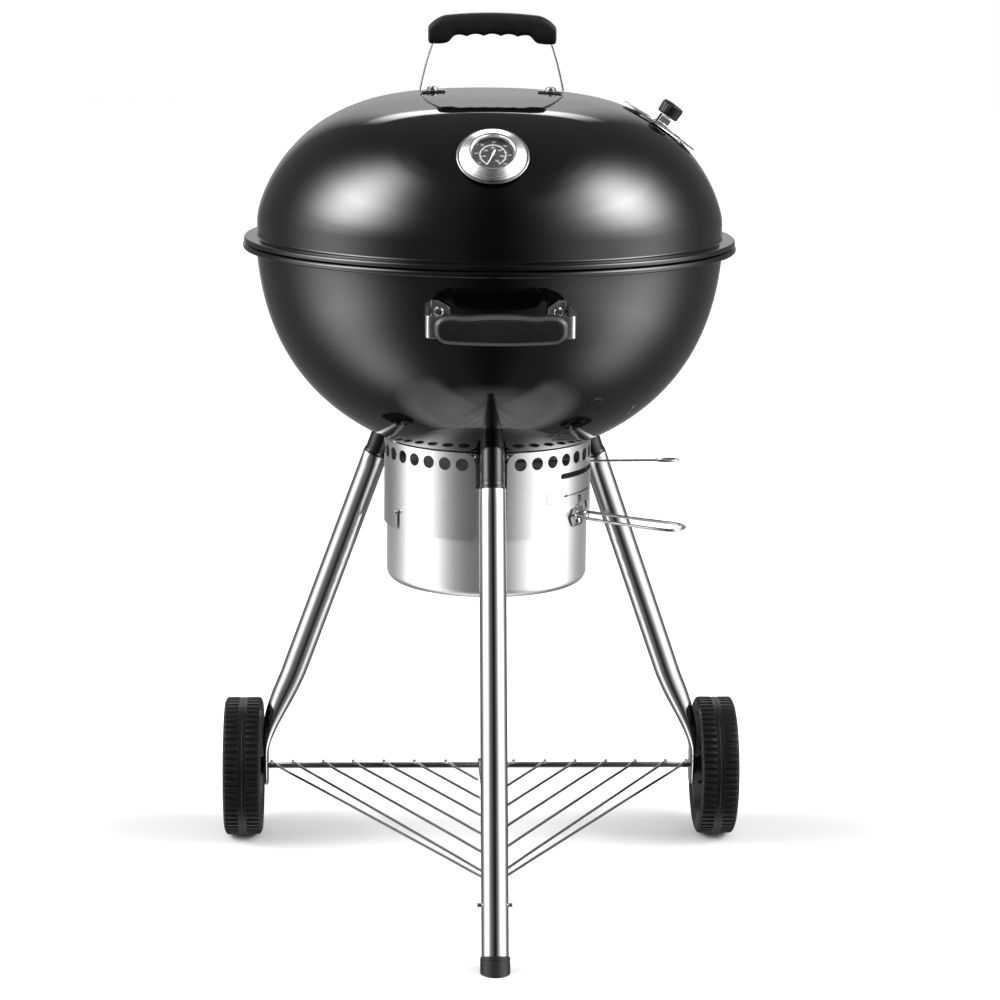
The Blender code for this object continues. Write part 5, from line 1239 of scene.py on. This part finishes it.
# ------------------------------------------------------------- axle and wheels
piece("axle_rod", soft_rod((-AXLE_HALF, AXLE_Y, WHEEL_R), (AXLE_HALF, AXLE_Y, WHEEL_R), AXLE_D / 2, 48, 0.0008),
      M["chrome_wire"], "stand", "axle", slot="wire_steel", sharp=40)
W = WHEEL_HALF_W
N_RIB = 64
for name, sx in (("left", -1), ("right", 1)):
    c = Vector((sx * WHEEL_X, AXLE_Y, WHEEL_R))
    wm = place(c, (sx, 0, 0), (0, 0, 1))
    core = fillet([(0.00445, -0.0258), (0.0132, -0.0258), (0.0150, -0.0060), (0.0670, -0.0060), (0.0722, -0.0218), (0.0815, -W + 0.0004),
                   (0.0852, -W + 0.0004), (WHEEL_R - 0.0022, -W + 0.0040), (WHEEL_R - 0.0022, W - 0.0040), (0.0852, W - 0.0004),
                   (0.0815, W - 0.0004), (0.0722, 0.0218), (0.0670, 0.0060), (0.0200, 0.0060), (0.0185, 0.0170), (0.00445, 0.0170)],
                  [0, 0.001, 0.002, 0.003, 0.003, 0.0015, 0.0015, 0.002, 0.002, 0.0015, 0.0015, 0.003, 0.003, 0.002, 0.001, 0], 4)
    seg = N_RIB * 8
    # tread: bars on both sides of a plain middle band with a moulding line
    tread = bmesh.new()
    zt_ = [-W + 0.0012, -W + 0.0030, -W + 0.0052, -0.0060, -0.0052, -0.0046, -0.0009, -0.0004, 0.0, 0.0004, 0.0009, 0.0046, 0.0052, 0.0060,
           W - 0.0052, W - 0.0030, W - 0.0012]
    rows = []
    for z in zt_:
        row = []
        az_ = abs(z)
        for k in range(seg):
            ph = (k % 8) / 8.0
            up = 1.0 if ph in (0.125, 0.25, 0.375, 0.5) else (0.55 if ph in (0.0, 0.625) else 0.0)
            edge = max(0.0, (az_ - (W - 0.0052)) / 0.0040)
            rr = WHEEL_R - 0.0026 * edge ** 2
            if az_ < 0.0055:
                r = WHEEL_R - 0.0004 + (0.0004 if az_ < 0.0003 else 0.0)
            else:
                r = rr - 0.0019 * (1 - up)
            if az_ > W - 0.0020:
                r = rr - 0.0012 * (1 - up) - 0.0010
            a = 2 * math.pi * k / seg
            row.append(tread.verts.new((r * math.cos(a), r * math.sin(a), z)))
        rows.append(row)
    inner_r = WHEEL_R - 0.0050
    for z in (W - 0.0012, -W + 0.0012):
        rows.append([tread.verts.new((inner_r * math.cos(2 * math.pi * k / seg), inner_r * math.sin(2 * math.pi * k / seg), z))
                     for k in range(seg)])
    for a, b in list(zip(rows[:-1], rows[1:])) + [(rows[-1], rows[0])]:
        for k in range(seg):
            j = (k + 1) % seg
            tread.faces.new((a[k], a[j], b[j], b[k]))
    moved(tread, wm)
    piece("wheel_tread_" + name, tread, M["wheel"], "wheel_%s_body" % name, slot="wheel_plastic", sharp=28)
    wheel = piece("wheel_disc_" + name, turned(core, 128, wm), M["wheel"], "wheel_%s_body" % name, "wheel_" + name,
                  slot="wheel_plastic", sharp=40)
    # moulded spokes on both faces of the web
    spokes = []
    for f in (-1, 1):
        for k in range(10):
            a = math.radians(36 * k + 18)
            cc, ss = math.cos(a), math.sin(a)
            z0, z1 = (0.0050, 0.0160) if f > 0 else (-0.0160, -0.0050)
            b = bmesh.new()
            vs = []
            for r, w, h in ((0.0165, 0.0022, 0.0150), (0.0400, 0.0018, 0.0085), (0.0690, 0.0020, 0.0140)):
                za, zb = (0.0050, h) if f > 0 else (-h, -0.0050)
                vs.append([b.verts.new((cc * r - ss * w, ss * r + cc * w, za)), b.verts.new((cc * r + ss * w, ss * r - cc * w, za)),
                           b.verts.new((cc * r + ss * w, ss * r - cc * w, zb)), b.verts.new((cc * r - ss * w, ss * r + cc * w, zb))])
            for p, q in zip(vs[:-1], vs[1:]):
                for i in range(4):
                    j = (i + 1) % 4
                    b.faces.new((p[i], p[j], q[j], q[i]))
            b.faces.new(vs[0])
            b.faces.new(vs[-1][::-1])
            spokes.append(b)
    piece("wheel_spokes_" + name, moved(join(*spokes), wm), M["wheel"], "wheel_%s_body" % name, slot="wheel_plastic", sharp=30)
    cap_pts = fillet([(0.0, W - 0.0006), (0.0, W + 0.0020)], 0, 1) + fillet(
        [(0.0, W + 0.0020), (0.0080, W + 0.0018), (0.0150, W + 0.0002), (0.0196, W - 0.0028), (0.0205, 0.0190), (0.0205, 0.0175),
         (0.0187, 0.0175), (0.0175, 0.0215), (0.0110, W - 0.0006), (0.0, W - 0.0006)],
        [0, 0.004, 0.004, 0.003, 0.0004, 0.0004, 0.0004, 0.002, 0.002, 0], 5)[1:-1]
    piece("hub_cap_pressed_" + name, turned(cap_pts, 96, wm), M["chrome_leg"], "wheel_%s_body" % name, "hub_cap_" + name,
          slot="chrome", sharp=40)

# ------------------------------------------------------------------ bottom rack
y_front = -LEG_R_AXLE - LEG_SPLAY * (WHEEL_R - RACK_FRONT_Z)
y_pin = -LEG_R_AXLE - LEG_SPLAY * (WHEEL_R - PIN_Z)


def rack_z(y):
    return RACK_REAR_Z + (RACK_FRONT_Z - RACK_REAR_Z) * (AXLE_Y - y) / (AXLE_Y - y_front)


def hook(x, r):
    q = AXLE_D / 2 + GAP + r
    return [(x, AXLE_Y + q * math.cos(math.radians(a)), WHEEL_R + q * math.sin(math.radians(a)))
            for a in (0, 22, 45, 68, 90, 112, 130)]


sr = RACK_SPINE / 2
y0 = AXLE_Y - 0.020
spine = hook(0.0, sr) + [(0, AXLE_Y - 0.012, rack_z(AXLE_Y - 0.012) + 0.0016)]
spine += [(0, y0 + (y_front + 0.012 - y0) * k / 8, rack_z(y0 + (y_front + 0.012 - y0) * k / 8)) for k in range(9)]
spine += [(0, y_front + 0.004, RACK_FRONT_Z - 0.0003), (0, y_pin + 0.0012, RACK_FRONT_Z - 0.0050),
          (0, y_pin + 0.0002, PIN_Z + PIN_D / 2 + GAP)]
wires = [tube(smooth_path(spine, 6), sr, 20)]
for i, x in enumerate(RACK_SPANS):
    r = RACK_WIRE / 2
    lean = 1.0 / RACK_RUN
    y_apex = AXLE_Y - RACK_RUN * x
    if y_apex < y_front + 0.022:
        y_apex = y_front + 0.022
    yh = AXLE_Y - 0.010
    side = hook(x, r) + [(x - 0.008 * lean, AXLE_Y - 0.0085, rack_z(AXLE_Y - 0.0085) + 0.0012)]
    xa, ya = x - 0.020 * lean, AXLE_Y - 0.020
    rad = min(0.010, x * 0.2)
    side += [(xa + (rad - xa) * k / 6, ya + (y_apex + rad * RACK_RUN * 0.72 - ya) * k / 6,
              rack_z(ya + (y_apex + rad * RACK_RUN * 0.72 - ya) * k / 6)) for k in range(7)]
    path = [(-p[0], p[1], p[2]) for p in side] + [(0.0, y_apex, rack_z(y_apex))] + [tuple(p) for p in side[::-1]]
    wires.append(tube(smooth_path(path, 5), r, 16))
rack = piece("bottom_rack_wires", join(*wires), M["chrome_wire"], "stand", "bottom_rack", slot="wire_steel", sharp=50)
piece("rack_cross_pin", soft_rod((-0.0208, y_pin, PIN_Z), (0.0208, y_pin, PIN_Z), PIN_D / 2, 32, 0.0006), M["zinc"], "stand",
      "rack_pin", slot="zinc", sharp=40)

# ---------------------------------------------------------------------- grates


def grate(name, node, body, radius, z, wire, bar, n, cross):
    parts = [turned([(radius + wire * math.cos(math.radians(22.5 * k)), z + wire * math.sin(math.radians(22.5 * k))) for k in range(16)], 144)]
    for k in range(n):
        x = -radius + 2 * radius * (k + 0.5) / n + 0.0002
        h = math.sqrt(max(radius ** 2 - x ** 2, 1e-9)) - 0.0005
        parts.append(tube([(x, -h + 2 * h * j / 6, z + 0.0004) for j in range(7)], bar, 14))
    for y in cross:
        h = math.sqrt(radius ** 2 - y ** 2) - 0.0005
        parts.append(tube([(-h + 2 * h * j / 6, y, z - bar * 0.9) for j in range(7)], bar, 14))
    return piece(name, join(*parts), M["chrome_wire"], body, node, slot="wire_steel", sharp=50)


grate("cooking_grate_wires", "cooking_grate", "cooking_grate_body", COOK_R, COOK_Z, 0.0030, 0.0022, 19, (-0.11, 0.11))
grate("charcoal_grate_wires", "charcoal_grate", "charcoal_grate_body", COAL_R, COAL_Z, 0.0032, 0.0028, 9, (-0.09, 0.09))

# ----------------------------------------------------------------- sweep lever
la = Vector((math.cos(math.radians(LEVER_AZ)), math.sin(math.radians(LEVER_AZ)), 0))
lt = Vector((-la.y, la.x, 0))
zc = Vector((0, 0, LEVER_Z))
boss = turned(fillet([(0.0056, LEVER_Z - 0.0016), (0.0130, LEVER_Z - 0.0016), (0.0130, LEVER_Z + 0.0016), (0.0056, LEVER_Z + 0.0016)], 0.0004, 3), 64)
neck, lc, lr, ll = 0.2070, 0.2265, 0.0075, 0.0140
arm = [la * 0.0110 + zc + lt * 0.0]
arm += [la * (0.0110 + (neck - 0.0110) * k / 8) + zc for k in range(1, 9)]
loop = []
for k in range(0, 41):
    a = math.pi - 2 * math.pi * k / 40
    loop.append(la * (lc + ll * math.cos(a)) + lt * (lr * math.sin(a)) + zc)
arm2 = tube(smooth_path(arm + [la * (lc - ll) + zc], 3), 0.0015, 20)
ring_ = tube(loop[:-1], 0.0016, 18, closed=True)
piece("sweep_lever_rod", join(boss, arm2, ring_), M["zinc"], "sweep", "sweep_lever", slot="zinc", sharp=45)

# -------------------------------------------------------------------- ash skirt
ri_, ro_ = SKIRT_R - SKIRT_T, SKIRT_R
rows_z = [SKIRT_BOTTOM + (SKIRT_TOP - SKIRT_BOTTOM) * k / 14 for k in range(15)]
sec_pts = [(ro_, z) for z in rows_z] + [(ri_, z) for z in reversed(rows_z)]
skirt = piece("ash_skirt_band", sector(sec_pts, -90 + SKIRT_GAP_DEG, 270 - SKIRT_GAP_DEG, 210), M["brushed"], "stand", "ash_skirt",
              slot="brushed_steel", sharp=38)
hole_bms = []
for k in range(16):
    for s in (-1, 1):
        a = -90 + s * (16 + 10 * k)
        hole_bms.append(rod(az(a, ri_ - 0.006, SKIRT_HOLE_Z), az(a, ro_ + 0.006, SKIRT_HOLE_Z), SKIRT_HOLE_R, 36))
cut(skirt, join(*hole_bms))


def band_cut(a0, a1, z0, z1, round_ends=True):
    """Slot through the band from angle a0 to a1, with round ends."""
    h = (z1 - z0) / 2
    zc_ = (z0 + z1) / 2
    r = ro_
    da = math.degrees(h / r)
    outline = []
    n = 24
    for k in range(n + 1):
        outline.append((a0 + da + (a1 - a0 - 2 * da) * k / n, zc_ - h))
    for k in range(1, 8):
        t = -90 + 180 * k / 8
        outline.append((a1 - da + da * math.cos(math.radians(t)), zc_ + h * math.sin(math.radians(t))))
    for k in range(n + 1):
        outline.append((a1 - da - (a1 - a0 - 2 * da) * k / n, zc_ + h))
    for k in range(1, 8):
        t = 90 + 180 * k / 8
        outline.append((a0 + da + da * math.cos(math.radians(t)), zc_ + h * math.sin(math.radians(t))))
    return wrapped(outline, ri_ - 0.006, ro_ + 0.006)


def wrapped(outline, r0, r1):
    """A solid whose outline is given as (degrees, z), between two radii."""
    bm = bmesh.new()
    a = [bm.verts.new(az(d, r0, z)) for d, z in outline]
    b = [bm.verts.new(az(d, r1, z)) for d, z in outline]
    n = len(a)
    for i in range(n):
        j = (i + 1) % n
        bm.faces.new((a[i], a[j], b[j], b[i]))
    bm.faces.new(a[::-1])
    bm.faces.new(b)
    bmesh.ops.triangulate(bm, faces=[f for f in bm.faces if len(f.verts) > 4])
    return bm


cut(skirt, band_cut(-48, 12, LEVER_Z - 0.0034, LEVER_Z + 0.0034))


def notch(a0, a1, w0, w1, z0, z1, n=72):
    """A wide opening up from the lower edge, as a strip of cells so that its caps follow the band."""
    mid, hw = (a0 + a1) / 2, (a1 - a0) / 2
    bm = bmesh.new()
    rows = []
    for k in range(n + 1):
        t = -1 + 2 * k / n
        lo_, hi_ = mid + hw * w0 * t, mid + hw * w1 * t
        rows.append([bm.verts.new(az(lo_, ri_ - 0.008, z0)), bm.verts.new(az(lo_, ro_ + 0.008, z0)),
                     bm.verts.new(az(hi_, ro_ + 0.008, z1)), bm.verts.new(az(hi_, ri_ - 0.008, z1))])
    for k in range(n):
        for i in range(4):
            j = (i + 1) % 4
            bm.faces.new((rows[k][i], rows[k][j], rows[k + 1][j], rows[k + 1][i]))
    bm.faces.new(rows[0][::-1])
    bm.faces.new(rows[-1])
    return bm


cut(skirt, notch(-57, -3, 1.10, 0.48, SKIRT_BOTTOM - 0.0052, SKIRT_CUT_TOP))
cut(skirt, notch(4, 176, 1.03, 0.86, SKIRT_BOTTOM - 0.0052, SKIRT_CUT_TOP))
# round off the two front corners
corner = []
for s in (-1, 1):
    a_edge = -90 + s * SKIRT_GAP_DEG
    rr = 0.0150
    dd_ = math.degrees(rr / ro_)
    o = [(a_edge - s * 0.6, SKIRT_TOP + 0.004), (a_edge - s * 0.6, SKIRT_TOP - rr)]
    for k in range(0, 13):
        t = math.radians(180 - 90 * k / 12)
        o.append((a_edge + s * (dd_ + dd_ * math.cos(t)), SKIRT_TOP - rr + rr * math.sin(t)))
    o += [(a_edge + s * dd_, SKIRT_TOP + 0.004)]
    if s < 0:
        o = o[::-1]
    corner.append(wrapped(o, ri_ - 0.006, ro_ + 0.006))
cut(skirt, join(*corner))
hz = 0.4748
ha = CAN_HANDLE_AZ
rad = az(ha, 1.0)
tan_ = az(ha + 90, 1.0)
upv = Vector((0, 0, 1))
cut(skirt, wrapped([(ha - 2.05, hz + 0.0175 - 0.020), (ha + 2.05, hz + 0.0175 - 0.020), (ha + 2.05, hz + 0.0275), (ha - 2.05, hz + 0.0275)],
                   ri_ - 0.008, ro_ + 0.008))
pz = 0.4795
cut(skirt, wrapped([(-150 - 1.34, pz - 0.050), (-150 + 1.34, pz - 0.050), (-150 + 1.34, pz + 0.0030), (-150 - 1.34, pz + 0.0030)],
                   ri_ - 0.008, ro_ + 0.008))
# tabs with the two clamp bolts
for side, sx in (("left", -1), ("right", 1)):
    a = -90 + sx * 11.0
    rb = 0.1190
    n = bowl_normal(rb)
    axis = az(a, n.x) + Vector((0, 0, n.y))
    base = az(a, rb, bowl_z(rb))
    t = Vector((-n.y, n.x))
    w = az(a, t.x) + Vector((0, 0, t.y))
    tg = az(a + 90, 1.0)
    mm = Matrix((w, tg, axis)).transposed().to_4x4()
    mm.translation = base + axis * 0.0008
    tab = piece("skirt_tab_" + side, prism([(-0.0105, -0.007), (0.0088, -0.007), (0.0088, 0.007), (-0.0105, 0.007)], 0.0, 0.0012, mm), M["brushed"],
                "stand", slot="brushed_steel", sharp=38, bevel=(0.0003, 2))
    cut(tab, rod(base - axis * 0.01, base + axis * 0.01, 0.0031, 32))
    screw("skirt_screw_" + side, base + axis * (0.0008 + 0.0012 + GAP), axis, 0.0052, 0.0042, (0.0025, 0.0105), "stand",
          "skirt_bolt_" + side)
bake(skirt, 38)

# printed marks beside the lever slot: a wedge-shaped line with an arrow tip, and an arc
mk = Mat("skirt_print", (0.02, 0.02, 0.02), 0.5)
mk.set("Base Color", mk.mix_color(mk.noise(700.0, 3.0), (0.012, 0.012, 0.012), (0.035, 0.035, 0.035)))
mk.set("Roughness", mk.remap(mk.noise(1400.0), 0.42, 0.6))


def printed(outline):
    return wrapped(outline, ro_ - 0.0002, ro_ + 0.00012)


def stroke(pts, w):
    left, right = [], []
    for i, p in enumerate(pts):
        a, b = Vector(pts[max(i - 1, 0)]), Vector(pts[min(i + 1, len(pts) - 1)])
        d = (b - a)
        d.x *= math.radians(1) * ro_
        d.normalize()
        nx, nz = -d.y / (math.radians(1) * ro_), d.x
        ww = w[i] if isinstance(w, (list, tuple)) else w
        left.append((p[0] + nx * ww / 2, p[1] + nz * ww / 2))
        right.append((p[0] - nx * ww / 2, p[1] - nz * ww / 2))
    return left + right[::-1]


MARK_Z = 0.5052
line_pts = [(-43.0 + 27.0 * k / 14, MARK_Z) for k in range(15)]
wl = [0.0006 + 0.0034 * (k / 14.0) ** 0.9 for k in range(15)]
prints = [printed(stroke(line_pts, wl)),
          printed([(-46.5, MARK_Z), (-42.6, MARK_Z - 0.0021), (-42.6, MARK_Z + 0.0021)])]
cc_z = 0.5040
rr_ = 0.0062
arc_pts = [(-55.5 + math.degrees(rr_ * math.cos(math.radians(t)) / ro_) * 1.0, cc_z + rr_ * math.sin(math.radians(t))) for t in range(75, 290, 12)]
prints += [printed(stroke(arc_pts[k:k + 2], 0.0008)) for k in range(len(arc_pts) - 1)]
piece("skirt_marks", join(*prints), mk.m, "stand", slot="dial", sharp=30)

# ---------------------------------------------------------------------- ash can
f = 0.012
outer = [(0.0, CAN_BOTTOM)] + [((CAN_R - f) * k / 8, CAN_BOTTOM) for k in range(1, 8)]
outer += arc(CAN_R - f, CAN_BOTTOM + f, f, -90, 0, 14)
outer += [(CAN_R, CAN_BOTTOM + f + (CAN_TOP - 0.0046 - CAN_BOTTOM - f) * k / 14) for k in range(1, 15)]
outer += fillet([(CAN_R, CAN_TOP - 0.0044), (CAN_R + 0.0016, CAN_TOP - 0.0032), (CAN_R + 0.0018, CAN_TOP - 0.0012), (CAN_R + 0.0008, CAN_TOP),
                 (CAN_R - CAN_T, CAN_TOP - 0.0008), (CAN_R - CAN_T, CAN_TOP - 0.006)], [0, 0.001, 0.001, 0.0008, 0.0004, 0], 4)[1:]
innr = [(CAN_R - CAN_T, CAN_TOP - 0.012 - (CAN_TOP - 0.012 - CAN_BOTTOM - f) * k / 10) for k in range(0, 10)]
innr += arc(CAN_R - f, CAN_BOTTOM + f, f - CAN_T, 0, -90, 12)
innr += [((CAN_R - f) * (7 - k) / 8, CAN_BOTTOM + CAN_T) for k in range(0, 7)] + [(0.0, CAN_BOTTOM + CAN_T)]
can = piece("ash_can_spun", turned(outer + innr, 160), M["satin"], "ash_catcher", "ash_can", slot="satin_aluminium", sharp=45)
hm = Matrix((tan_, upv, rad)).transposed().to_4x4()
hm.translation = rad * (CAN_R + 0.0005) + upv * hz
hexp = fillet([(0.0, -0.0118), (0.0120, -0.0118), (0.0195, 0.0), (0.0120, 0.0118), (-0.0120, 0.0118), (-0.0195, 0.0), (-0.0120, -0.0118), (0.0, -0.0118)],
              [0, 0.002, 0.002, 0.002, 0.002, 0.002, 0.002, 0], 4)[:-1]
plate = piece("can_handle_hex_plate", prism(hexp, 0.0, 0.0014, hm), M["zinc"], "ash_catcher", "can_handle_plate", slot="zinc", sharp=35,
              bevel=(0.0003, 2))
hl, hw = 0.1400, 0.0200
base_r = CAN_R + 0.0005 + 0.0014 + GAP
wz = hz + 0.0030
pth = []
for s in (-1, 1):
    pth.append([rad * (base_r + 0.0020) + tan_ * (s * 0.0060) + upv * wz,
                rad * (base_r + 0.0021) + tan_ * (s * 0.0090) + upv * wz,
                rad * (base_r + 0.0030) + tan_ * (s * 0.0120) + upv * wz,
                rad * (base_r + 0.0065) + tan_ * (s * 0.0150) + upv * wz,
                rad * (base_r + 0.0150) + tan_ * (s * 0.0166) + upv * (wz - 0.0004),
                rad * (base_r + 0.0300) + tan_ * (s * 0.0175) + upv * (wz - 0.0010),
                rad * (base_r + 0.0620) + tan_ * (s * 0.0188) + upv * (wz - 0.0021),
                rad * (base_r + hl - 0.0170) + tan_ * (s * hw) + upv * (wz - 0.0030),
                rad * (base_r + hl - 0.0060) + tan_ * (s * hw * 0.80) + upv * (wz - 0.0033),
                rad * (base_r + hl - 0.0010) + tan_ * (s * hw * 0.44) + upv * (wz - 0.0034)])
wire_pts = pth[0] + [rad * (base_r + hl) + upv * (wz - 0.0034)] + pth[1][::-1]
piece("can_handle_loop_wire", tube(smooth_path(wire_pts, 5), 0.0019, 24), M["zinc"], "ash_catcher", "can_handle_wire", slot="zinc", sharp=50)
rv = turned([(0, 0.0052), (0.0020, 0.0050), (0.0034, 0.0042), (0.0042, 0.0030), (0.0044, 0.0019), (0.0020, 0.0019), (0.0020, -0.0018), (0, -0.0018)],
            48, hm @ Matrix.Translation((0, -0.0052, 0)))
piece("can_plate_domed_rivet", rv, M["zinc"], "ash_catcher", "can_plate_rivet", slot="zinc", sharp=45)
cr = turned([(0, -0.004), (0.0024, -0.004), (0.0024, 0.004), (0, 0.004)], 32, hm @ Matrix.Translation((0, -0.0052, 0)))
cut(plate, cr)
bake(plate, 35)
lp = [(0.0012, 0.0132), (0.0012, 0.0172), (0.0013, 0.0215), (0.0016, 0.0250)]
lm = Matrix((rad, upv, rad.cross(upv))).transposed().to_4x4()
lm.translation = rad * (CAN_R + 0.0005) + upv * hz
piece("can_latch_tongue", strap(lp, 0.0010, -0.0032, 0.0032, lm, 4), M["zinc"], "ash_catcher", "can_latch", slot="zinc", sharp=40,
      bevel=(0.00025, 2))
for nm, a in (("left", -150.0), ("back", 90.0)):
    pg = soft_rod(az(a, CAN_R + 0.0004, pz), az(a, SKIRT_R + 0.0065, pz), 0.0022, 32, 0.0006)
    piece("can_peg_pin_" + nm, pg, M["zinc"], "ash_catcher", "can_peg_" + nm, slot="zinc", sharp=40)

# ------------------------------------------- CAD pieces whose shape is already right
for n, o in nodes.items():
    if n in done:
        continue
    mat = {"grate_tab_a": "enamel_in", "grate_tab_b": "enamel_in", "grate_tab_c": "enamel_in"}.get(n, "zinc")
    if o.material_slots:
        for s in o.material_slots:
            s.material = M[mat]
    else:
        o.data.materials.append(M[mat])

# ------------------------------------------------------------------------ floor
mf = Mat("pale_floor", (0.64, 0.64, 0.64), 0.7)
mf.set("Base Color", mf.mix_color(mf.remap(mf.noise(1.4, 3.0), 0.0, 1.0, 0.3, 0.7), (0.62, 0.62, 0.62), (0.66, 0.66, 0.66)))
mf.set("Roughness", mf.remap(mf.noise(3.0, 3.0), 0.62, 0.78))
mf.p.inputs["Specular IOR Level"].default_value = 0.0
bm = bmesh.new()
bmesh.ops.create_circle(bm, cap_ends=True, segments=96, radius=14.0)
me = bpy.data.meshes.new("floor")
bm.to_mesh(me)
bm.free()
floor = bpy.data.objects.new("floor", me)
floor.location = (0, 0, -0.0006)
me.materials.append(mf.m)
bpy.context.scene.collection.objects.link(floor)
floor.visible_glossy = False       # the lower half of the studio stands in for it in reflections

# ------------------------------------------------------------------------ world
world = bpy.data.worlds.new("studio")
bpy.context.scene.world = world
world.use_nodes = True
wt = world.node_tree
for n in list(wt.nodes):
    wt.nodes.remove(n)


def wn(kind, **values):
    n = wt.nodes.new(kind)
    for k, v in values.items():
        setattr(n, k, v)
    return n


def wmath(op, a, b=None, clamp=False):
    n = wn("ShaderNodeMath", operation=op, use_clamp=clamp)
    for i, v in enumerate((a, b)):
        if v is None:
            continue
        if isinstance(v, (int, float)):
            n.inputs[i].default_value = v
        else:
            wt.links.new(v, n.inputs[i])
    return n.outputs[0]


def wramp(v, lo, hi, a=0.0, b=1.0):
    n = wn("ShaderNodeMapRange", interpolation_type="SMOOTHSTEP")
    n.inputs["From Min"].default_value = lo
    n.inputs["From Max"].default_value = hi
    n.inputs["To Min"].default_value = a
    n.inputs["To Max"].default_value = b
    wt.links.new(v, n.inputs["Value"])
    return n.outputs["Result"]


geo = wn("ShaderNodeTexCoord")
sep = wn("ShaderNodeSeparateXYZ")
wt.links.new(geo.outputs["Generated"], sep.inputs[0])
X, Y, Z = sep.outputs
azi = wmath("MULTIPLY", wmath("ARCTAN2", X, wmath("MULTIPLY", Y, -1.0)), 180 / math.pi)     # 0 in front, + to the right
ele = wmath("MULTIPLY", wmath("ARCSINE", Z), 180 / math.pi)


def bump_az(mid, sigma):
    """A bell around one azimuth."""
    d = wmath("ABSOLUTE", wmath("SUBTRACT", azi, mid))
    d = wmath("MINIMUM", d, wmath("SUBTRACT", 360.0, d))
    q = wmath("DIVIDE", d, sigma)
    return wmath("EXPONENT", wmath("MULTIPLY", wmath("MULTIPLY", q, q), -0.5))


def flat_az(mid, half, soft):
    d = wmath("ABSOLUTE", wmath("SUBTRACT", azi, mid))
    d = wmath("MINIMUM", d, wmath("SUBTRACT", 360.0, d))
    return wramp(d, half + soft, half)


def profile(stops, power):
    """Brightness against elevation, through a list of (degrees, brightness)."""
    r = wn("ShaderNodeValToRGB")
    r.color_ramp.interpolation = "LINEAR"
    t = wmath("DIVIDE", wmath("ADD", ele, 90.0), 180.0)
    wt.links.new(t, r.inputs[0])
    els = r.color_ramp.elements
    while len(els) > 1:
        els.remove(els[-1])
    els[0].position = (stops[0][0] + 90.0) / 180.0
    v = stops[0][1] / power
    els[0].color = (v, v, v, 1)
    for e_, v_ in stops[1:]:
        n = els.new((e_ + 90.0) / 180.0)
        v = v_ / power
        n.color = (v, v, v, 1)
    sp = wn("ShaderNodeSeparateColor")
    wt.links.new(r.outputs[0], sp.inputs[0])
    return wmath("MULTIPLY", sp.outputs[0], power)


parts_ = [wmath("MULTIPLY", bump_az(*g), profile(st, pw)) for g, st, pw in SOFTBOXES]
parts_ += [wmath("MULTIPLY", flat_az(*g), profile(st, pw)) for g, st, pw in PANELS]
total = parts_[0]
for b in parts_[1:]:
    total = wmath("ADD", total, b)
bg_ref = wn("ShaderNodeBackground")
wt.links.new(total, bg_ref.inputs["Color"])
bg_ref.inputs["Strength"].default_value = 1.0
bg_cam = wn("ShaderNodeBackground")
bg_cam.inputs["Color"].default_value = (1, 1, 1, 1)
bg_cam.inputs["Strength"].default_value = 1.0
lp_ = wn("ShaderNodeLightPath")
mixw = wn("ShaderNodeMixShader")
wt.links.new(lp_.outputs["Is Camera Ray"], mixw.inputs[0])
wt.links.new(bg_ref.outputs[0], mixw.inputs[1])
wt.links.new(bg_cam.outputs[0], mixw.inputs[2])
wo = wn("ShaderNodeOutputWorld")
wt.links.new(mixw.outputs[0], wo.inputs[0])

# -------------------------------------------------------------- lamps and camera


def area(name, loc, target, sx, sy, power, glossy=True):
    d = bpy.data.lights.new(name, "AREA")
    d.shape = "RECTANGLE"
    d.size, d.size_y, d.energy = sx, sy, power
    o = bpy.data.objects.new(name, d)
    bpy.context.scene.collection.objects.link(o)
    o.location = loc
    o.rotation_mode = "QUATERNION"
    o.rotation_quaternion = (Vector(target) - Vector(loc)).to_track_quat("-Z", "Y")
    o.visible_glossy = glossy
    o.visible_camera = False
    return o


for spec in LAMPS:
    area(*spec)

cam = bpy.data.cameras.new("camera")
cam.sensor_width = 36.0
cam.lens = CAM_F / 1000.0 * 36.0
cam.clip_start, cam.clip_end = 0.05, 60.0
co = bpy.data.objects.new("camera", cam)
bpy.context.scene.collection.objects.link(co)
psi, pitch, roll = CAM_PSI, CAM_PITCH, CAM_ROLL
fwd = Vector((-math.sin(psi) * math.cos(pitch), math.cos(psi) * math.cos(pitch), -math.sin(pitch)))
right = Vector((math.cos(psi), math.sin(psi), 0))
upc = right.cross(fwd)
r2 = right * math.cos(roll) + upc * math.sin(roll)
u2 = -right * math.sin(roll) + upc * math.cos(roll)
mc = Matrix((r2, u2, -fwd)).transposed().to_4x4()
C = Vector((CAM_D * math.sin(psi), -CAM_D * math.cos(psi), CAM_H)) + right * CAM_XOFF
mc.translation = C + Vector((0, KY, 0))
co.matrix_world = mc
cam.shift_x, cam.shift_y = CAM_SHIFT
bpy.context.scene.camera = co

vs = bpy.context.scene.view_settings
vs.view_transform = "Standard"
vs.look = "None"
vs.exposure = 0.0
vs.gamma = 1.0

bpy.context.view_layer.update()
